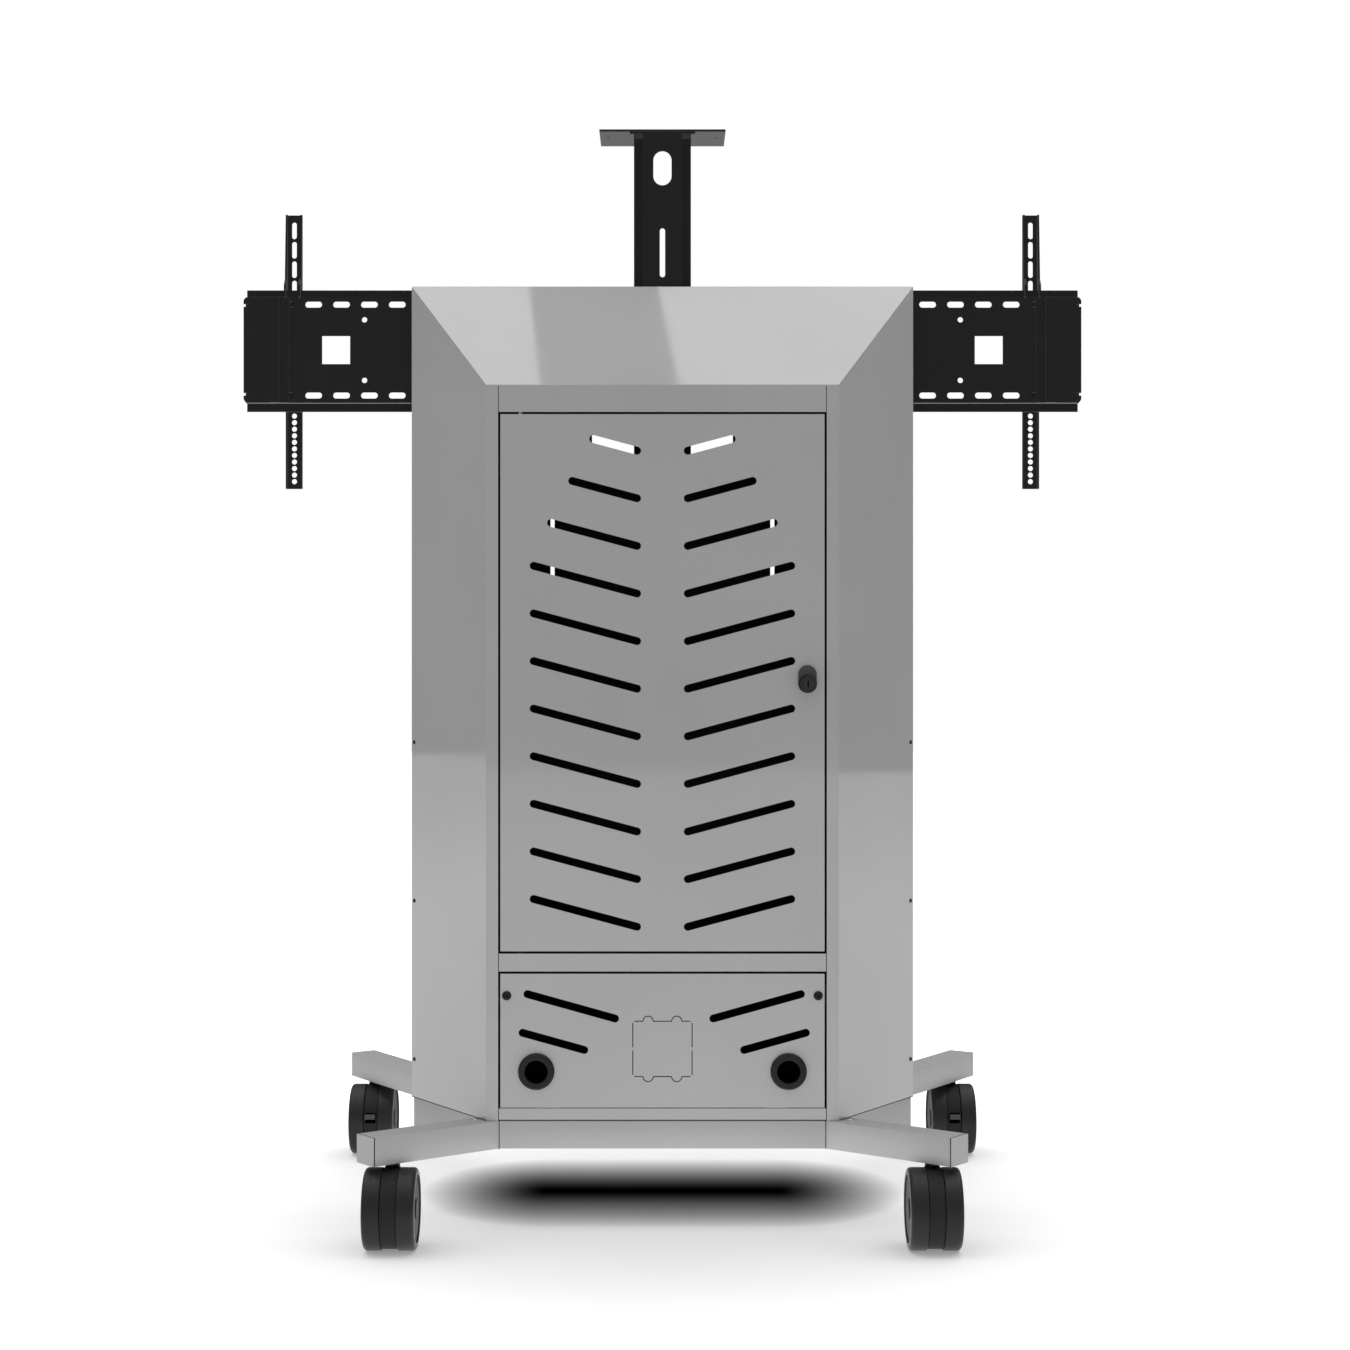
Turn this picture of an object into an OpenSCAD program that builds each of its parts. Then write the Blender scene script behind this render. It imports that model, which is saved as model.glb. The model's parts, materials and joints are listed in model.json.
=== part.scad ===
// Mobile media cart: sheet-metal cabinet on a steel base with four splayed legs and twin-wheel
// casters, with a wide screen mount and a camera shelf on the screen side.
// X runs across the cart, Y from the door side (negative) to the screen side, Z up from the floor.

/* [Cabinet] */
// Width of the rear face, where the door is
rear_w = 444; // [430:1:480]
// Width of the screen side
front_w = 666; // [640:1:700]
// Depth from the rear face to the screen side
cabinet_d = 173; // [165:1:200]
// Rise of the sloped hood
hood_rise = 149.6; // [140:0.1:170]
// Thickness of the cabinet sheet
sheet_t = 1.5; // [1.2:0.1:2]
// Width of the strip beside the door opening
strip_w = 15.2; // [14:0.1:18]
// Depth of the flange along the door opening
jamb_d = 20; // [18:1:22]
// Width of the folded edge behind the front panel
return_w = 20; // [15:1:25]
// Open seam between two sheets
seam = 0.8; // [0.6:0.1:0.9]
// Set-back of the front panel from the side panels' edges
front_inset = 3; // [2:0.5:6]
// How far the front panel reaches below the cabinet
apron_h = 44.5; // [38:0.5:60]

/* [Openings in the front panel] */
// Width of the cable window
window_w = 187; // [160:1:200]
// Height of the cable window
window_h = 70; // [50:1:75]
// Distance of the window's top from the rear edge of the hood
window_drop = 21; // [18:1:30]
// Distance of the mount slots from the middle
mount_slot_x = 146; // [135:1:170]
// Width of the mount slots
mount_slot_w = 5.4; // [5.2:0.1:6]
// Travel of the screen mount in its slots
mount_travel = 280; // [200:5:300]

/* [Door] */
// Gap around the door, and beside and above the access panel
door_gap = 2.8; // [2:0.1:3.2]
// Height of the door
door_h = 676; // [660:1:685]
// Height of the band above the door
header_h = 34.3; // [30:0.1:40]
// Depth of the door's folded edges
door_fold = 15; // [12:0.5:16]
// Hinge pin's distance from the door's edge
hinge_in = 24.5; // [22:0.5:27]
// Hinge pin's distance behind the door's face
hinge_back = 8; // [7:0.5:9]
// Diameter of the hinge pins
pin_d = 6; // [5:0.5:7]
// Width of the door's ventilation slots
vent_w = 10; // [7:0.5:12]
// Angle of the ventilation slots
vent_angle = 15; // [10:1:18]
// Distance between the rows of slots
vent_pitch = 59.9; // [58:0.1:61]
// Number of rows of slots
vent_rows = 11; // [6:1:11]
// Distance of the slots' inner ends from the middle
vent_in = 32; // [25:0.5:40]
// Distance of the longest slots' outer ends from the middle
vent_out = 162; // [150:0.5:164]
// Outer end of the top slot, from the middle
vent_first = 87; // [75:0.1:100]
// Growth of the outer end from row to row
vent_step = 26.5; // [10:0.5:30]
// Top slot's inner end below the door's top
vent_top = 46; // [42:0.1:52]

/* [Lock] */
// Distance of the lock from the door's edge
lock_in = 21.7; // [20:0.1:24]
// Height of the lock above the door's middle
lock_rise = -1.5; // [-20:0.5:20]
// Diameter of the lock's head
lock_head_d = 22; // [20:0.5:23]
// Diameter of the lock's barrel
lock_barrel_d = 18; // [15:0.5:19]
// Width of the lock's oval plate
plate_w = 23.4; // [23:0.1:26]
// Height of the lock's oval plate
plate_h = 35; // [32:0.5:40]
// How far the lock's head stands out
lock_out = 20; // [14:0.5:24]
// Length of the lock's cam from its axis
cam_l = 32; // [30:0.5:36]

/* [Access panel] */
// Height of the access panel
panel_h = 168.4; // [160:0.1:175]
// Height of the sill below it
sill_h = 15.9; // [14:0.1:20]
// Height of the rail between it and the door
rail_h = 22.6; // [18:0.1:26]
// Distance of the panel screws from the panel's edge
screw_in = 8; // [7:0.1:10]
// Distance of the panel screws from the panel's top
screw_down = 27.5; // [25:0.1:40]
// Diameter of the panel screws' heads
screw_head_d = 11.6; // [9:0.1:12]
// Distance of the cable grommets from the middle
grommet_x = 158.7; // [150:0.1:165]
// Height of the grommets above the panel's lower edge
grommet_up = 45.6; // [35:0.5:50]
// Outer diameter of the grommets
grommet_d = 45.6; // [40:0.1:50]
// Cable hole through the grommets
grommet_bore = 29; // [20:0.5:32]
// Width of the knock-out plate
knock_w = 74.6; // [60:0.1:90]
// Height of the knock-out plate
knock_h = 69.6; // [55:0.1:80]
// Height of the knock-out's lower edge above the panel's lower edge
knock_up = 39.1; // [30:0.1:45]

/* [Shelf in the cabinet] */
// Height of the shelf above the bay floor
shelf_up = 384; // [300:1:420]
// Distance of the shelf's edge behind the rear face
shelf_back = 46; // [42:1:60]

/* [Base] */
// Height of the base's steel tubes
tube_h = 35; // [30:1:40]
// Depth of the crossbars
tube_d = 35; // [30:1:45]
// Width of the legs
leg_w = 38; // [34:1:42]
// Wall of the base's tubes
tube_wall = 2; // [1.5:0.1:3]
// Length of the rear legs
rear_leg_l = 184; // [170:1:220]
// Angle of the rear legs from the crossbar
rear_leg_angle = 38; // [32:1:44]
// Length of the front legs
front_leg_l = 455; // [400:1:480]
// Angle of the front legs from the crossbar
front_leg_angle = 57; // [52:1:65]
// Distance of the front legs' roots from the middle
front_root_x = 195.7; // [180:0.1:205]
// Distance of the caster stems from the legs' ends
stem_inset = 40; // [34:1:50]

/* [Casters] */
// Diameter of the caster wheels
wheel_d = 100; // [90:1:110]
// Width of each wheel
wheel_w = 22; // [20:0.5:26]
// Width of the housing between the wheels
hub_w = 19; // [18:0.5:22]
// Space between the wheels' tops and the legs
leg_gap = 5; // [4:0.5:10]
// Distance of the wheel axle from the swivel axis
trail = 18; // [16:0.5:22]
// Diameter of the swivel pin
stem_d = 10; // [8:0.5:11]
// Diameter of the collar above the housing
collar_d = 18; // [16:0.5:19]
// Diameter of the wheel axle
axle_d = 8; // [6:0.5:10]

/* [Screen mount] */
// Width of the mount plate with its wings
mount_w = 1126.6; // [1080:0.1:1180]
// Height of the mount plate's web
web_h = 142; // [135:0.5:150]
// Top of the web above the rear edge of the hood
web_rise = 141.6; // [136:0.1:145]
// Thickness of the mount's steel
mount_t = 2.5; // [2:0.1:3]
// Distance of the mount plate from the cabinet
stand_off = 40.5; // [38:0.5:46]
// Depth of the plate's folded rails
rail_d = 14.5; // [13:0.5:16]
// Height of the rails' lips
lip_h = 11; // [9:0.5:12]
// Length of the plate's slots
hole_l = 22.6; // [18:0.1:24]
// Width of the plate's slots
hole_w = 8.2; // [7:0.1:9]
// Distance between the plate's slots
hole_pitch = 37.5; // [35:0.1:38]
// Distance of the outermost slots from the plate's ends
hole_end = 56.4; // [50:0.1:60]
// Distance between the two rows of slots
slot_spread = 122.3; // [115:0.1:123]
// Width of the square windows
port_w = 37.8; // [30:0.1:40]
// Distance of the square windows from the plate's ends
port_end = 124.1; // [115:0.1:130]
// Width of the wings that close the plate's ends
wing_w = 61.5; // [58:0.5:62]

/* [Screen arms] */
// Distance of the arms from the plate's ends
arm_end = 63.8; // [62:0.1:80]
// Width of the arms
arm_w = 22; // [20:0.5:24]
// Length of the arms above the web's top
arm_above = 115.2; // [100:0.1:130]
// Length of the arms below the web's top
arm_below = 256; // [250:1:280]
// Depth of the arms' flanges at their ends
flange_d = 5; // [4:0.5:8]
// Length of the arms' slots
arm_slot_l = 22.6; // [18:0.1:23]
// Width of the arms' slots
arm_slot_w = 6.5; // [5:0.1:7]
// Distance between the arms' slots
arm_slot_pitch = 26.3; // [26:0.1:28]
// Diameter of the arms' round holes
arm_hole_d = 7; // [5:0.1:7.2]
// Distance between the arms' round holes
arm_hole_pitch = 8.9; // [8.8:0.1:10]

/* [Camera shelf] */
// Top of the camera shelf above the web's top
shelf_rise = 217.9; // [200:0.1:240]
// Width of the camera shelf
cam_shelf_w = 168; // [150:1:190]
// Depth of the camera shelf
cam_shelf_d = 94.6; // [90:0.1:100]
// Thickness of the camera shelf
cam_shelf_t = 3; // [2.5:0.1:4]
// Width of the upright
upright_w = 76.6; // [72:0.1:80]
// Width of the upright's raised middle
hat_w = 52; // [46:1:54]
// Thickness of the upright's steel
upright_t = 2; // [1.5:0.1:2.5]
// Length of the upright
upright_l = 452; // [445:1:460]
// Width of the oval cable hole
oval_w = 24.2; // [18:0.1:28]
// Height of the oval cable hole
oval_h = 45.4; // [36:0.1:50]

/* [Hidden] */
$fn = 48;

// Clearances shared by all pieces
panel_foot_gap = 0.9;
cut = 1;
run_gap = 0.05;
seat_gap = 0.3;
fit_gap = 0.5;
reach = 3000;

// Base and cabinet levels
base_z = wheel_d + leg_gap;
base_top = base_z + tube_h;
sill_top = base_top + sill_h;
panel_z = sill_top + panel_foot_gap;
panel_top = panel_z + panel_h;
rail_z = panel_top + door_gap;
floor_top = rail_z + rail_h;
door_z = floor_top + door_gap;
door_top = door_z + door_h;
header_z = door_top + door_gap;
rear_top = header_z + header_h;
front_top = rear_top + hood_rise;
hood_angle = atan2(hood_rise, cabinet_d);

// Cabinet in plan
rear_half = rear_w / 2;
front_half = front_w / 2;
flare = (front_half - rear_half) / cabinet_d;
skin_x = sheet_t * sqrt(1 + flare * flare);
open_half = rear_half - strip_w;
door_half = open_half - door_gap;
infill_half = open_half - seam;
front_y = cabinet_d + sheet_t;
function wall_x(y) = rear_half + flare * y;
function inside_x(y) = wall_x(y) - skin_x;

// Legs and casters in plan, for the right half of the cart
cross_half = infill_half;
rear_dir = [cos(rear_leg_angle), -sin(rear_leg_angle)];
rear_side = [sin(rear_leg_angle), cos(rear_leg_angle)];
rear_stem = [cross_half, 0] + (rear_leg_l - stem_inset) * rear_dir + leg_w / 2 * rear_side;
front_dir = [cos(front_leg_angle), sin(front_leg_angle)];
front_stem = [front_root_x, cabinet_d] + (front_leg_l - stem_inset) * front_dir;
front_root_half = leg_w / 2 / sin(front_leg_angle);
front_cross_half = front_root_x + front_root_half;
leg_root_l = leg_w * 2;

// The origin lies under the middle of the cart's depth
near_y = rear_stem.y - trail - wheel_d / 2;
far_y = cabinet_d + front_leg_l * sin(front_leg_angle) + leg_w / 2 * cos(front_leg_angle);
mid_y = (near_y + far_y) / 2;

// Casters
wheel_r = wheel_d / 2;
wheel_edge_r = 5;
wheel_dish_share = 0.8;
wheel_dish = 1.5;
wheel_cap = 4;
wheel_side_gap = 0.6;
hub_rim = 2;
hub_r = wheel_r - hub_rim;
collar_h = 6.5;
stem_up = 12;
swivel_top = base_z - collar_h - seat_gap;
stem_above_axle = 12;
stem_low = wheel_r + stem_above_axle;
pedal_cheek = 2.5;
pedal_w = hub_w - 2 * pedal_cheek;
pedal_slot_gap = 0.5;
pedal_pivot_y = -trail - wheel_r / 2;
pedal_pivot_rise = 8;
pedal_pivot_z = wheel_r + pedal_pivot_rise;
pedal_pin_d = 4;
pedal_boss_r = 6;
pedal_out = 7;
pedal_rise = 4;
pedal_t = 7;

// Door, lock and panel details
hinge_x = -(door_half - hinge_in);
pin_l = 18;
pin_grip = 10;
header_flange_d = 22;
stop_gap = 1.5;
stop_h = 8;
rail_lip_d = 15;
lock_x = door_half - lock_in;
lock_z = door_z + door_h / 2 + lock_rise;
plate_t = 4;
cam_t = 3;
cam_w = 14;
cam_gap = 1;
cam_y = jamb_d + cam_gap;
key_w = 2;
key_l = 10;
key_depth = 4;
panel_fold = 12;
sill_step = 6;
lug_w = 22;
lug_h = 25;
lug_t = 2;
screw_x = door_half - screw_in;
screw_z = panel_top - screw_down;
screw_head_h = 3;
screw_shank_d = 5;
grommet_z = panel_z + grommet_up;
grommet_out = 7;
grommet_neck_d = 36;
grommet_back_d = 41;
grommet_back_t = 3;
grommet_edge = 2;
knock_line = 1.2;
knock_tab_r = 7;
knock_tab_x = 18;
knock_joint = 2;
tab_w = 30;
tab_h = 7;
panel_vent_w = 10;
// The right-hand slots of the panel stand further out than the left-hand ones
panel_vent_shift = 4.4;
// Ends of the access panel's upper and lower slots, as shares of its half width and of its height
panel_vent_shares = [[0.2925, 0.666], [0.8325, 0.848], [0.4825, 0.431], [0.8625, 0.559]];

// Shelf
shelf_z = floor_top + shelf_up;
shelf_front_gap = 13;
shelf_front = cabinet_d - shelf_front_gap;
shelf_lip = 12;
angle_h = 20;
angle_w = 18;
angle_end = 4;
floor_cut_w = 120;
floor_cut_d = 35;
floor_cut_back = 10;

// Screen mount
plate_y = front_y + stand_off;
plate_far = plate_y + mount_t;
web_top = rear_top + web_rise;
web_z = web_top - web_h;
web_mid = web_top - web_h / 2;
lip_far = plate_y + rail_d;
lip_near = lip_far - mount_t;
lip_top = web_top + lip_h;
lip_low = web_z - lip_h;
slots_a_side = 9;
round_hole_d = 7.3;
round_hole_end = 162.4;
hole_out = mount_w / 2 - hole_end;
port_x = mount_w / 2 - port_end;
round_hole_x = mount_w / 2 - round_hole_end;
round_spread = 81.5;
wing_rib_w = 12;
wing_rib_x = 36;
wing_rib_t = 3;
notch_l = 6.5;
notch_w = 3.5;
corner = 6;
spacer_w = 44;
spacer_h = 130;
bolt_spread = 90;
bolt_d = 5;
bolt_head_d = 10;
bolt_head_h = 3;
nut_d = 11;
nut_h = 4;
washer_d = 16;
washer_t = 1.6;
bolt_end = 2;
bolt_slack = 0.1;
slot_top = web_mid + bolt_spread / 2 + bolt_d / 2 + seat_gap;
slot_low = web_mid - bolt_spread / 2 - mount_travel - bolt_d / 2 - seat_gap;
window_top = rear_top - window_drop;
notch_gap = 3;

// Screen arms
arm_set_off = 28.5;
arm_y = plate_y + arm_set_off;
arm_far = arm_y + mount_t;
arm_x = mount_w / 2 - arm_end;
arm_top = web_top + arm_above;
arm_low = web_top - arm_below;
finger_t = 5;
finger_far = lip_near - fit_gap;
finger_near = finger_far - finger_t;
finger_gap = 1.5;
finger_low = web_top + finger_gap;
hook_h = 7;
hook_top = lip_top + hook_h;
arm_rest_gap = 1;
arm_rest = lip_far + arm_rest_gap;
jaw_gap = 6.5;
jaw_top = web_top - mount_t - jaw_gap;
jaw_h = 9;
jaw_t = 3;
arm_slots = 4;
arm_holes = 11;
arm_slot_in = 9.5;
arm_hole_in = 10;
arm_screw_d = 5;
arm_screw_head_d = 9;
arm_screw_head_h = 6;
arm_screw_y = (lip_near + lip_far) / 2;

// Camera shelf and upright
upright_gap = 3;
upright_y = front_y + upright_gap;
brim_far = plate_y - seat_gap;
shelf_top_z = web_top + shelf_rise;
upright_top = shelf_top_z - cam_shelf_t;
upright_low = upright_top - upright_l;
foot_w = 87;
foot_d = 60;
foot_t = 2.5;
foot_lip = 3;
oval_drop = 26;
oval_top = upright_top - oval_drop;
slot_w = 7;
slot_h = 65.2;
slot_gap = 128.5;
clip_h = 120;
clip_w = 13;
clip_over = 10;
clip_t = 2.5;
clip_spread = 80;
shelf_hole_x = 73;
shelf_hole_y = 39.7;
shelf_hole_d = 4;
camera_hole_d = 6.6;
camera_hole_y = 73;
shelf_screw_x = 14;
shelf_screw_y = 20;
shelf_screw_d = 5;
shelf_screw_head_d = 9;
shelf_screw_head_h = 1.8;
shelf_nut_h = 4;

silver = [0.62, 0.62, 0.63];
black = [0.1, 0.1, 0.1];
soft_black = [0.16, 0.16, 0.16];
plate_grey = [0.4, 0.4, 0.41];
plastic_grey = [0.3, 0.3, 0.31];

// Shared building blocks
module in_frame() translate([0, -mid_y, 0]) children();
module on_side(side) mirror([side < 0 ? 1 : 0, 0, 0]) children();
module both_sides() {
    children();
    mirror([1, 0, 0]) children();
}

// A box given by two opposite corners
module block(low, high) translate(low) cube(high - low);

// A rod along Y between two depths
module rod_y(x, z, y0, y1, d) translate([x, y1, z]) rotate([90, 0, 0]) cylinder(h = y1 - y0, d = d);

// A flat outline in X and Z, given thickness along Y
module stand_y(y0, y1) translate([0, y1, 0]) rotate([90, 0, 0]) linear_extrude(y1 - y0) children();

// A flat outline in Y and Z, given width along X
module stand_x(x0, x1) translate([x0, 0, 0]) rotate([90, 0, 90]) linear_extrude(x1 - x0) children();

// A slot between two end points, with round ends
module slot_2d(a, b, w) {
    run = b - a;
    translate(a) circle(d = w);
    translate(b) circle(d = w);
    translate(a) rotate(atan2(run.y, run.x)) translate([0, -w / 2]) square([norm(run), w]);
}

// Everything above the hood's underside
module above_hood() {
    translate([0, 0, rear_top]) rotate([hood_angle, 0, 0])
        translate([-reach / 2, -reach / 2, -sheet_t]) cube([reach, reach, reach]);
}

// Base
module tube_x(half, y0) {
    difference() {
        block([-half, y0, base_z], [half, y0 + tube_d, base_top]);
        block([-half - cut, y0 + tube_wall, base_z + tube_wall],
              [half + cut, y0 + tube_d - tube_wall, base_top - tube_wall]);
    }
}

module rear_crossbar() color(silver) in_frame() tube_x(cross_half, 0);

module front_crossbar() color(silver) in_frame() tube_x(front_cross_half, cabinet_d - tube_d);

module base_rails() color(silver) in_frame() both_sides() {
    y1 = cabinet_d - tube_d;
    x0 = mount_slot_x - tube_d / 2;
    difference() {
        block([x0, tube_d, base_z], [x0 + tube_d, y1, base_top]);
        block([x0 + tube_wall, tube_d - cut, base_z + tube_wall],
              [x0 + tube_d - tube_wall, y1 + cut, base_top - tube_wall]);
    }
}

// A straight leg tube along X with a closed outer end and a solid root
module leg_tube(length, y0) {
    difference() {
        block([-leg_root_l, y0, base_z], [length, y0 + leg_w, base_top]);
        block([leg_root_l, y0 + tube_wall, base_z + tube_wall],
              [length - tube_wall, y0 + leg_w - tube_wall, base_top - tube_wall]);
        translate([length - stem_inset, y0 + leg_w / 2, base_z - cut])
            cylinder(h = tube_wall + 2 * cut, d = stem_d);
    }
}

module rear_leg(side) color(silver) in_frame() on_side(side) difference() {
    translate([cross_half, 0, 0]) rotate(-rear_leg_angle) leg_tube(rear_leg_l, 0);
    block([-reach, -reach, 0], [cross_half, reach, reach]);
    block([0, tube_d, 0], [reach, reach, reach]);
}

module front_leg(side) color(silver) in_frame() on_side(side) difference() {
    translate([front_root_x, cabinet_d, 0]) rotate(front_leg_angle) leg_tube(front_leg_l, -leg_w / 2);
    block([-reach, -reach, 0], [reach, cabinet_d, reach]);
}

module rear_leg_left() rear_leg(-1);
module rear_leg_right() rear_leg(1);
module front_leg_left() front_leg(-1);
module front_leg_right() front_leg(1);

// Casters, each drawn around its swivel axis
module caster_at(stem, side) translate([side * stem.x, stem.y - mid_y, 0]) children();

module caster_stem() color(black) {
    translate([0, 0, stem_low]) cylinder(h = base_z + stem_up - stem_low, d = stem_d);
    translate([0, 0, base_z - collar_h]) cylinder(h = collar_h, d = collar_d);
}

module pedal_slot() {
    block([-pedal_w / 2 - pedal_slot_gap, -trail - wheel_r - cut, pedal_pivot_z - pedal_boss_r - pedal_slot_gap],
          [pedal_w / 2 + pedal_slot_gap, pedal_pivot_y + pedal_boss_r + pedal_slot_gap,
           pedal_pivot_z + pedal_rise + pedal_t / 2 + pedal_slot_gap]);
}

module caster_housing(braked) color(soft_black) {
    difference() {
        union() {
            stand_x(-hub_w / 2, hub_w / 2) {
                translate([-trail, wheel_r]) circle(r = hub_r, $fn = 96);
                translate([-trail, stem_low]) square([trail, swivel_top - stem_low]);
            }
            translate([0, 0, stem_low]) cylinder(h = swivel_top - stem_low, d = hub_w);
        }
        translate([0, 0, stem_low - seat_gap])
            cylinder(h = swivel_top - stem_low + seat_gap + cut, d = stem_d + 2 * run_gap);
        translate([-hub_w, -trail, wheel_r]) rotate([0, 90, 0]) cylinder(h = 2 * hub_w, d = axle_d);
        if (braked) pedal_slot();
    }
    if (braked) translate([-pedal_w / 2 - pedal_slot_gap - cut, pedal_pivot_y, pedal_pivot_z])
        rotate([0, 90, 0]) cylinder(h = pedal_w + 2 * pedal_slot_gap + 2 * cut, d = pedal_pin_d);
}

module caster_axle() color(plate_grey) {
    half = hub_w / 2 + wheel_side_gap + wheel_w - wheel_cap - seat_gap;
    translate([-half, -trail, wheel_r]) rotate([0, 90, 0]) cylinder(h = 2 * half, d = axle_d);
}

// Wheel on the right of its caster: inner face towards the housing, dished outer face
module caster_wheel(side) color(soft_black) on_side(side) {
    bore_r = axle_d / 2 + run_gap;
    dish_r = wheel_r * wheel_dish_share;
    edge = [for (a = [0 : 15 : 90])
        [wheel_r - wheel_edge_r + wheel_edge_r * cos(a), wheel_w - wheel_edge_r + wheel_edge_r * sin(a)]];
    profile = concat(
        [[bore_r, 0], [wheel_r - wheel_dish, 0], [wheel_r, wheel_dish]],
        edge,
        [[dish_r + wheel_dish, wheel_w], [dish_r, wheel_w - wheel_dish], [0, wheel_w - wheel_dish],
         [0, wheel_w - wheel_cap], [bore_r, wheel_w - wheel_cap]]);
    translate([hub_w / 2 + wheel_side_gap, -trail, wheel_r]) rotate([0, 90, 0])
        rotate_extrude($fn = 96) polygon(profile);
}

module brake_pedal() color(plastic_grey) {
    tip_y = -trail - wheel_r - pedal_out;
    stand_x(-pedal_w / 2, pedal_w / 2) difference() {
        union() {
            translate([pedal_pivot_y, pedal_pivot_z]) circle(r = pedal_boss_r);
            polygon([[pedal_pivot_y, pedal_pivot_z - pedal_t / 2],
                     [tip_y, pedal_pivot_z + pedal_rise - pedal_t / 2],
                     [tip_y, pedal_pivot_z + pedal_rise + pedal_t / 2],
                     [pedal_pivot_y, pedal_pivot_z + pedal_t / 2]]);
        }
        translate([pedal_pivot_y, pedal_pivot_z]) circle(d = pedal_pin_d + 2 * run_gap);
    }
}

module rear_left_stem() caster_at(rear_stem, -1) caster_stem();
module rear_right_stem() caster_at(rear_stem, 1) caster_stem();
module front_left_stem() caster_at(front_stem, -1) caster_stem();
module front_right_stem() caster_at(front_stem, 1) caster_stem();
module rear_left_housing() caster_at(rear_stem, -1) caster_housing(false);
module rear_right_housing() caster_at(rear_stem, 1) caster_housing(false);
module front_left_housing() caster_at(front_stem, -1) caster_housing(true);
module front_right_housing() caster_at(front_stem, 1) caster_housing(true);
module rear_left_axle() caster_at(rear_stem, -1) caster_axle();
module rear_right_axle() caster_at(rear_stem, 1) caster_axle();
module front_left_axle() caster_at(front_stem, -1) caster_axle();
module front_right_axle() caster_at(front_stem, 1) caster_axle();
module rear_left_wheel_outer() caster_at(rear_stem, -1) caster_wheel(-1);
module rear_left_wheel_inner() caster_at(rear_stem, -1) caster_wheel(1);
module rear_right_wheel_outer() caster_at(rear_stem, 1) caster_wheel(1);
module rear_right_wheel_inner() caster_at(rear_stem, 1) caster_wheel(-1);
module front_left_wheel_outer() caster_at(front_stem, -1) caster_wheel(-1);
module front_left_wheel_inner() caster_at(front_stem, -1) caster_wheel(1);
module front_right_wheel_outer() caster_at(front_stem, 1) caster_wheel(1);
module front_right_wheel_inner() caster_at(front_stem, 1) caster_wheel(-1);
module brake_pedal_left() caster_at(front_stem, -1) brake_pedal();
module brake_pedal_right() caster_at(front_stem, 1) brake_pedal();

// Cabinet
module side_panel(side) color(silver) in_frame() on_side(side) difference() {
    union() {
        translate([0, 0, base_top]) linear_extrude(front_top - base_top) polygon([
            [open_half, jamb_d], [open_half, 0], [rear_half, 0], [front_half, cabinet_d],
            [front_half - return_w, cabinet_d], [front_half - return_w, cabinet_d - sheet_t],
            [inside_x(cabinet_d - sheet_t), cabinet_d - sheet_t], [inside_x(sheet_t), sheet_t],
            [open_half + sheet_t, sheet_t], [open_half + sheet_t, jamb_d]]);
        block([open_half - lug_w, sheet_t, screw_z - lug_h / 2],
              [open_half + sheet_t, sheet_t + lug_t, screw_z + lug_h / 2]);
    }
    above_hood();
    rod_y(screw_x, screw_z, 0, sheet_t + lug_t + cut, screw_shank_d);
}

module side_panel_left() side_panel(-1);
module side_panel_right() side_panel(1);

module hood() color(silver) in_frame() intersection() {
    linear_extrude(reach) polygon([[-rear_half, 0], [rear_half, 0],
                                   [front_half, cabinet_d], [-front_half, cabinet_d]]);
    translate([0, 0, rear_top]) rotate([hood_angle, 0, 0])
        translate([-reach / 2, -reach / 2, -sheet_t]) cube([reach, reach, sheet_t]);
}

module front_panel() color(silver) in_frame() {
    half = front_half - front_inset;
    notch_in = front_root_x - front_root_half - notch_gap;
    notch_out = front_root_x + front_root_half + notch_gap + sheet_t / tan(front_leg_angle);
    stand_y(cabinet_d, front_y) difference() {
        translate([-half, base_top - apron_h]) square([2 * half, front_top - base_top + apron_h]);
        translate([-window_w / 2, window_top - window_h]) square([window_w, window_h]);
        both_sides() {
            slot_2d([mount_slot_x, slot_low + mount_slot_w / 2], [mount_slot_x, slot_top - mount_slot_w / 2],
                    mount_slot_w);
            translate([notch_in, base_top - apron_h - cut])
                square([notch_out - notch_in, apron_h + cut + notch_gap / 2]);
        }
    }
}

module header_band() color(silver) in_frame() difference() {
    union() {
        block([-infill_half, 0, header_z], [infill_half, sheet_t, rear_top]);
        block([-infill_half, 0, header_z], [infill_half, header_flange_d, header_z + sheet_t]);
        block([hinge_x + hinge_in, door_fold + stop_gap, header_z - stop_h],
              [infill_half, door_fold + stop_gap + sheet_t, header_z + sheet_t]);
    }
    above_hood();
    hinge_bore(header_z);
}

// Bore for a hinge pin through a sheet whose underside lies at z
module hinge_bore(z) translate([hinge_x, hinge_back, z - cut])
    cylinder(h = sheet_t + 2 * cut, d = pin_d + 2 * run_gap);

// Outline of a floor that fills the cabinet between its side panels
module floor_2d(y0) {
    step = jamb_d + fit_gap;
    end = cabinet_d - sheet_t - fit_gap;
    polygon([
        [-infill_half, y0], [infill_half, y0], [infill_half, step], [inside_x(step) - fit_gap, step],
        [inside_x(end) - fit_gap, end], [-inside_x(end) + fit_gap, end],
        [-inside_x(step) + fit_gap, step], [-infill_half, step]]);
}

module bay_floor() color(silver) in_frame() difference() {
    union() {
        block([-infill_half, 0, rail_z], [infill_half, sheet_t, floor_top]);
        block([-infill_half, 0, rail_z], [infill_half, rail_lip_d, rail_z + sheet_t]);
        translate([0, 0, floor_top - sheet_t]) linear_extrude(sheet_t) floor_2d(0);
    }
    block([-floor_cut_w / 2, cabinet_d - floor_cut_back - floor_cut_d, floor_top - sheet_t - cut],
          [floor_cut_w / 2, cabinet_d - floor_cut_back, floor_top + cut]);
    hinge_bore(floor_top - sheet_t);
}

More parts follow.
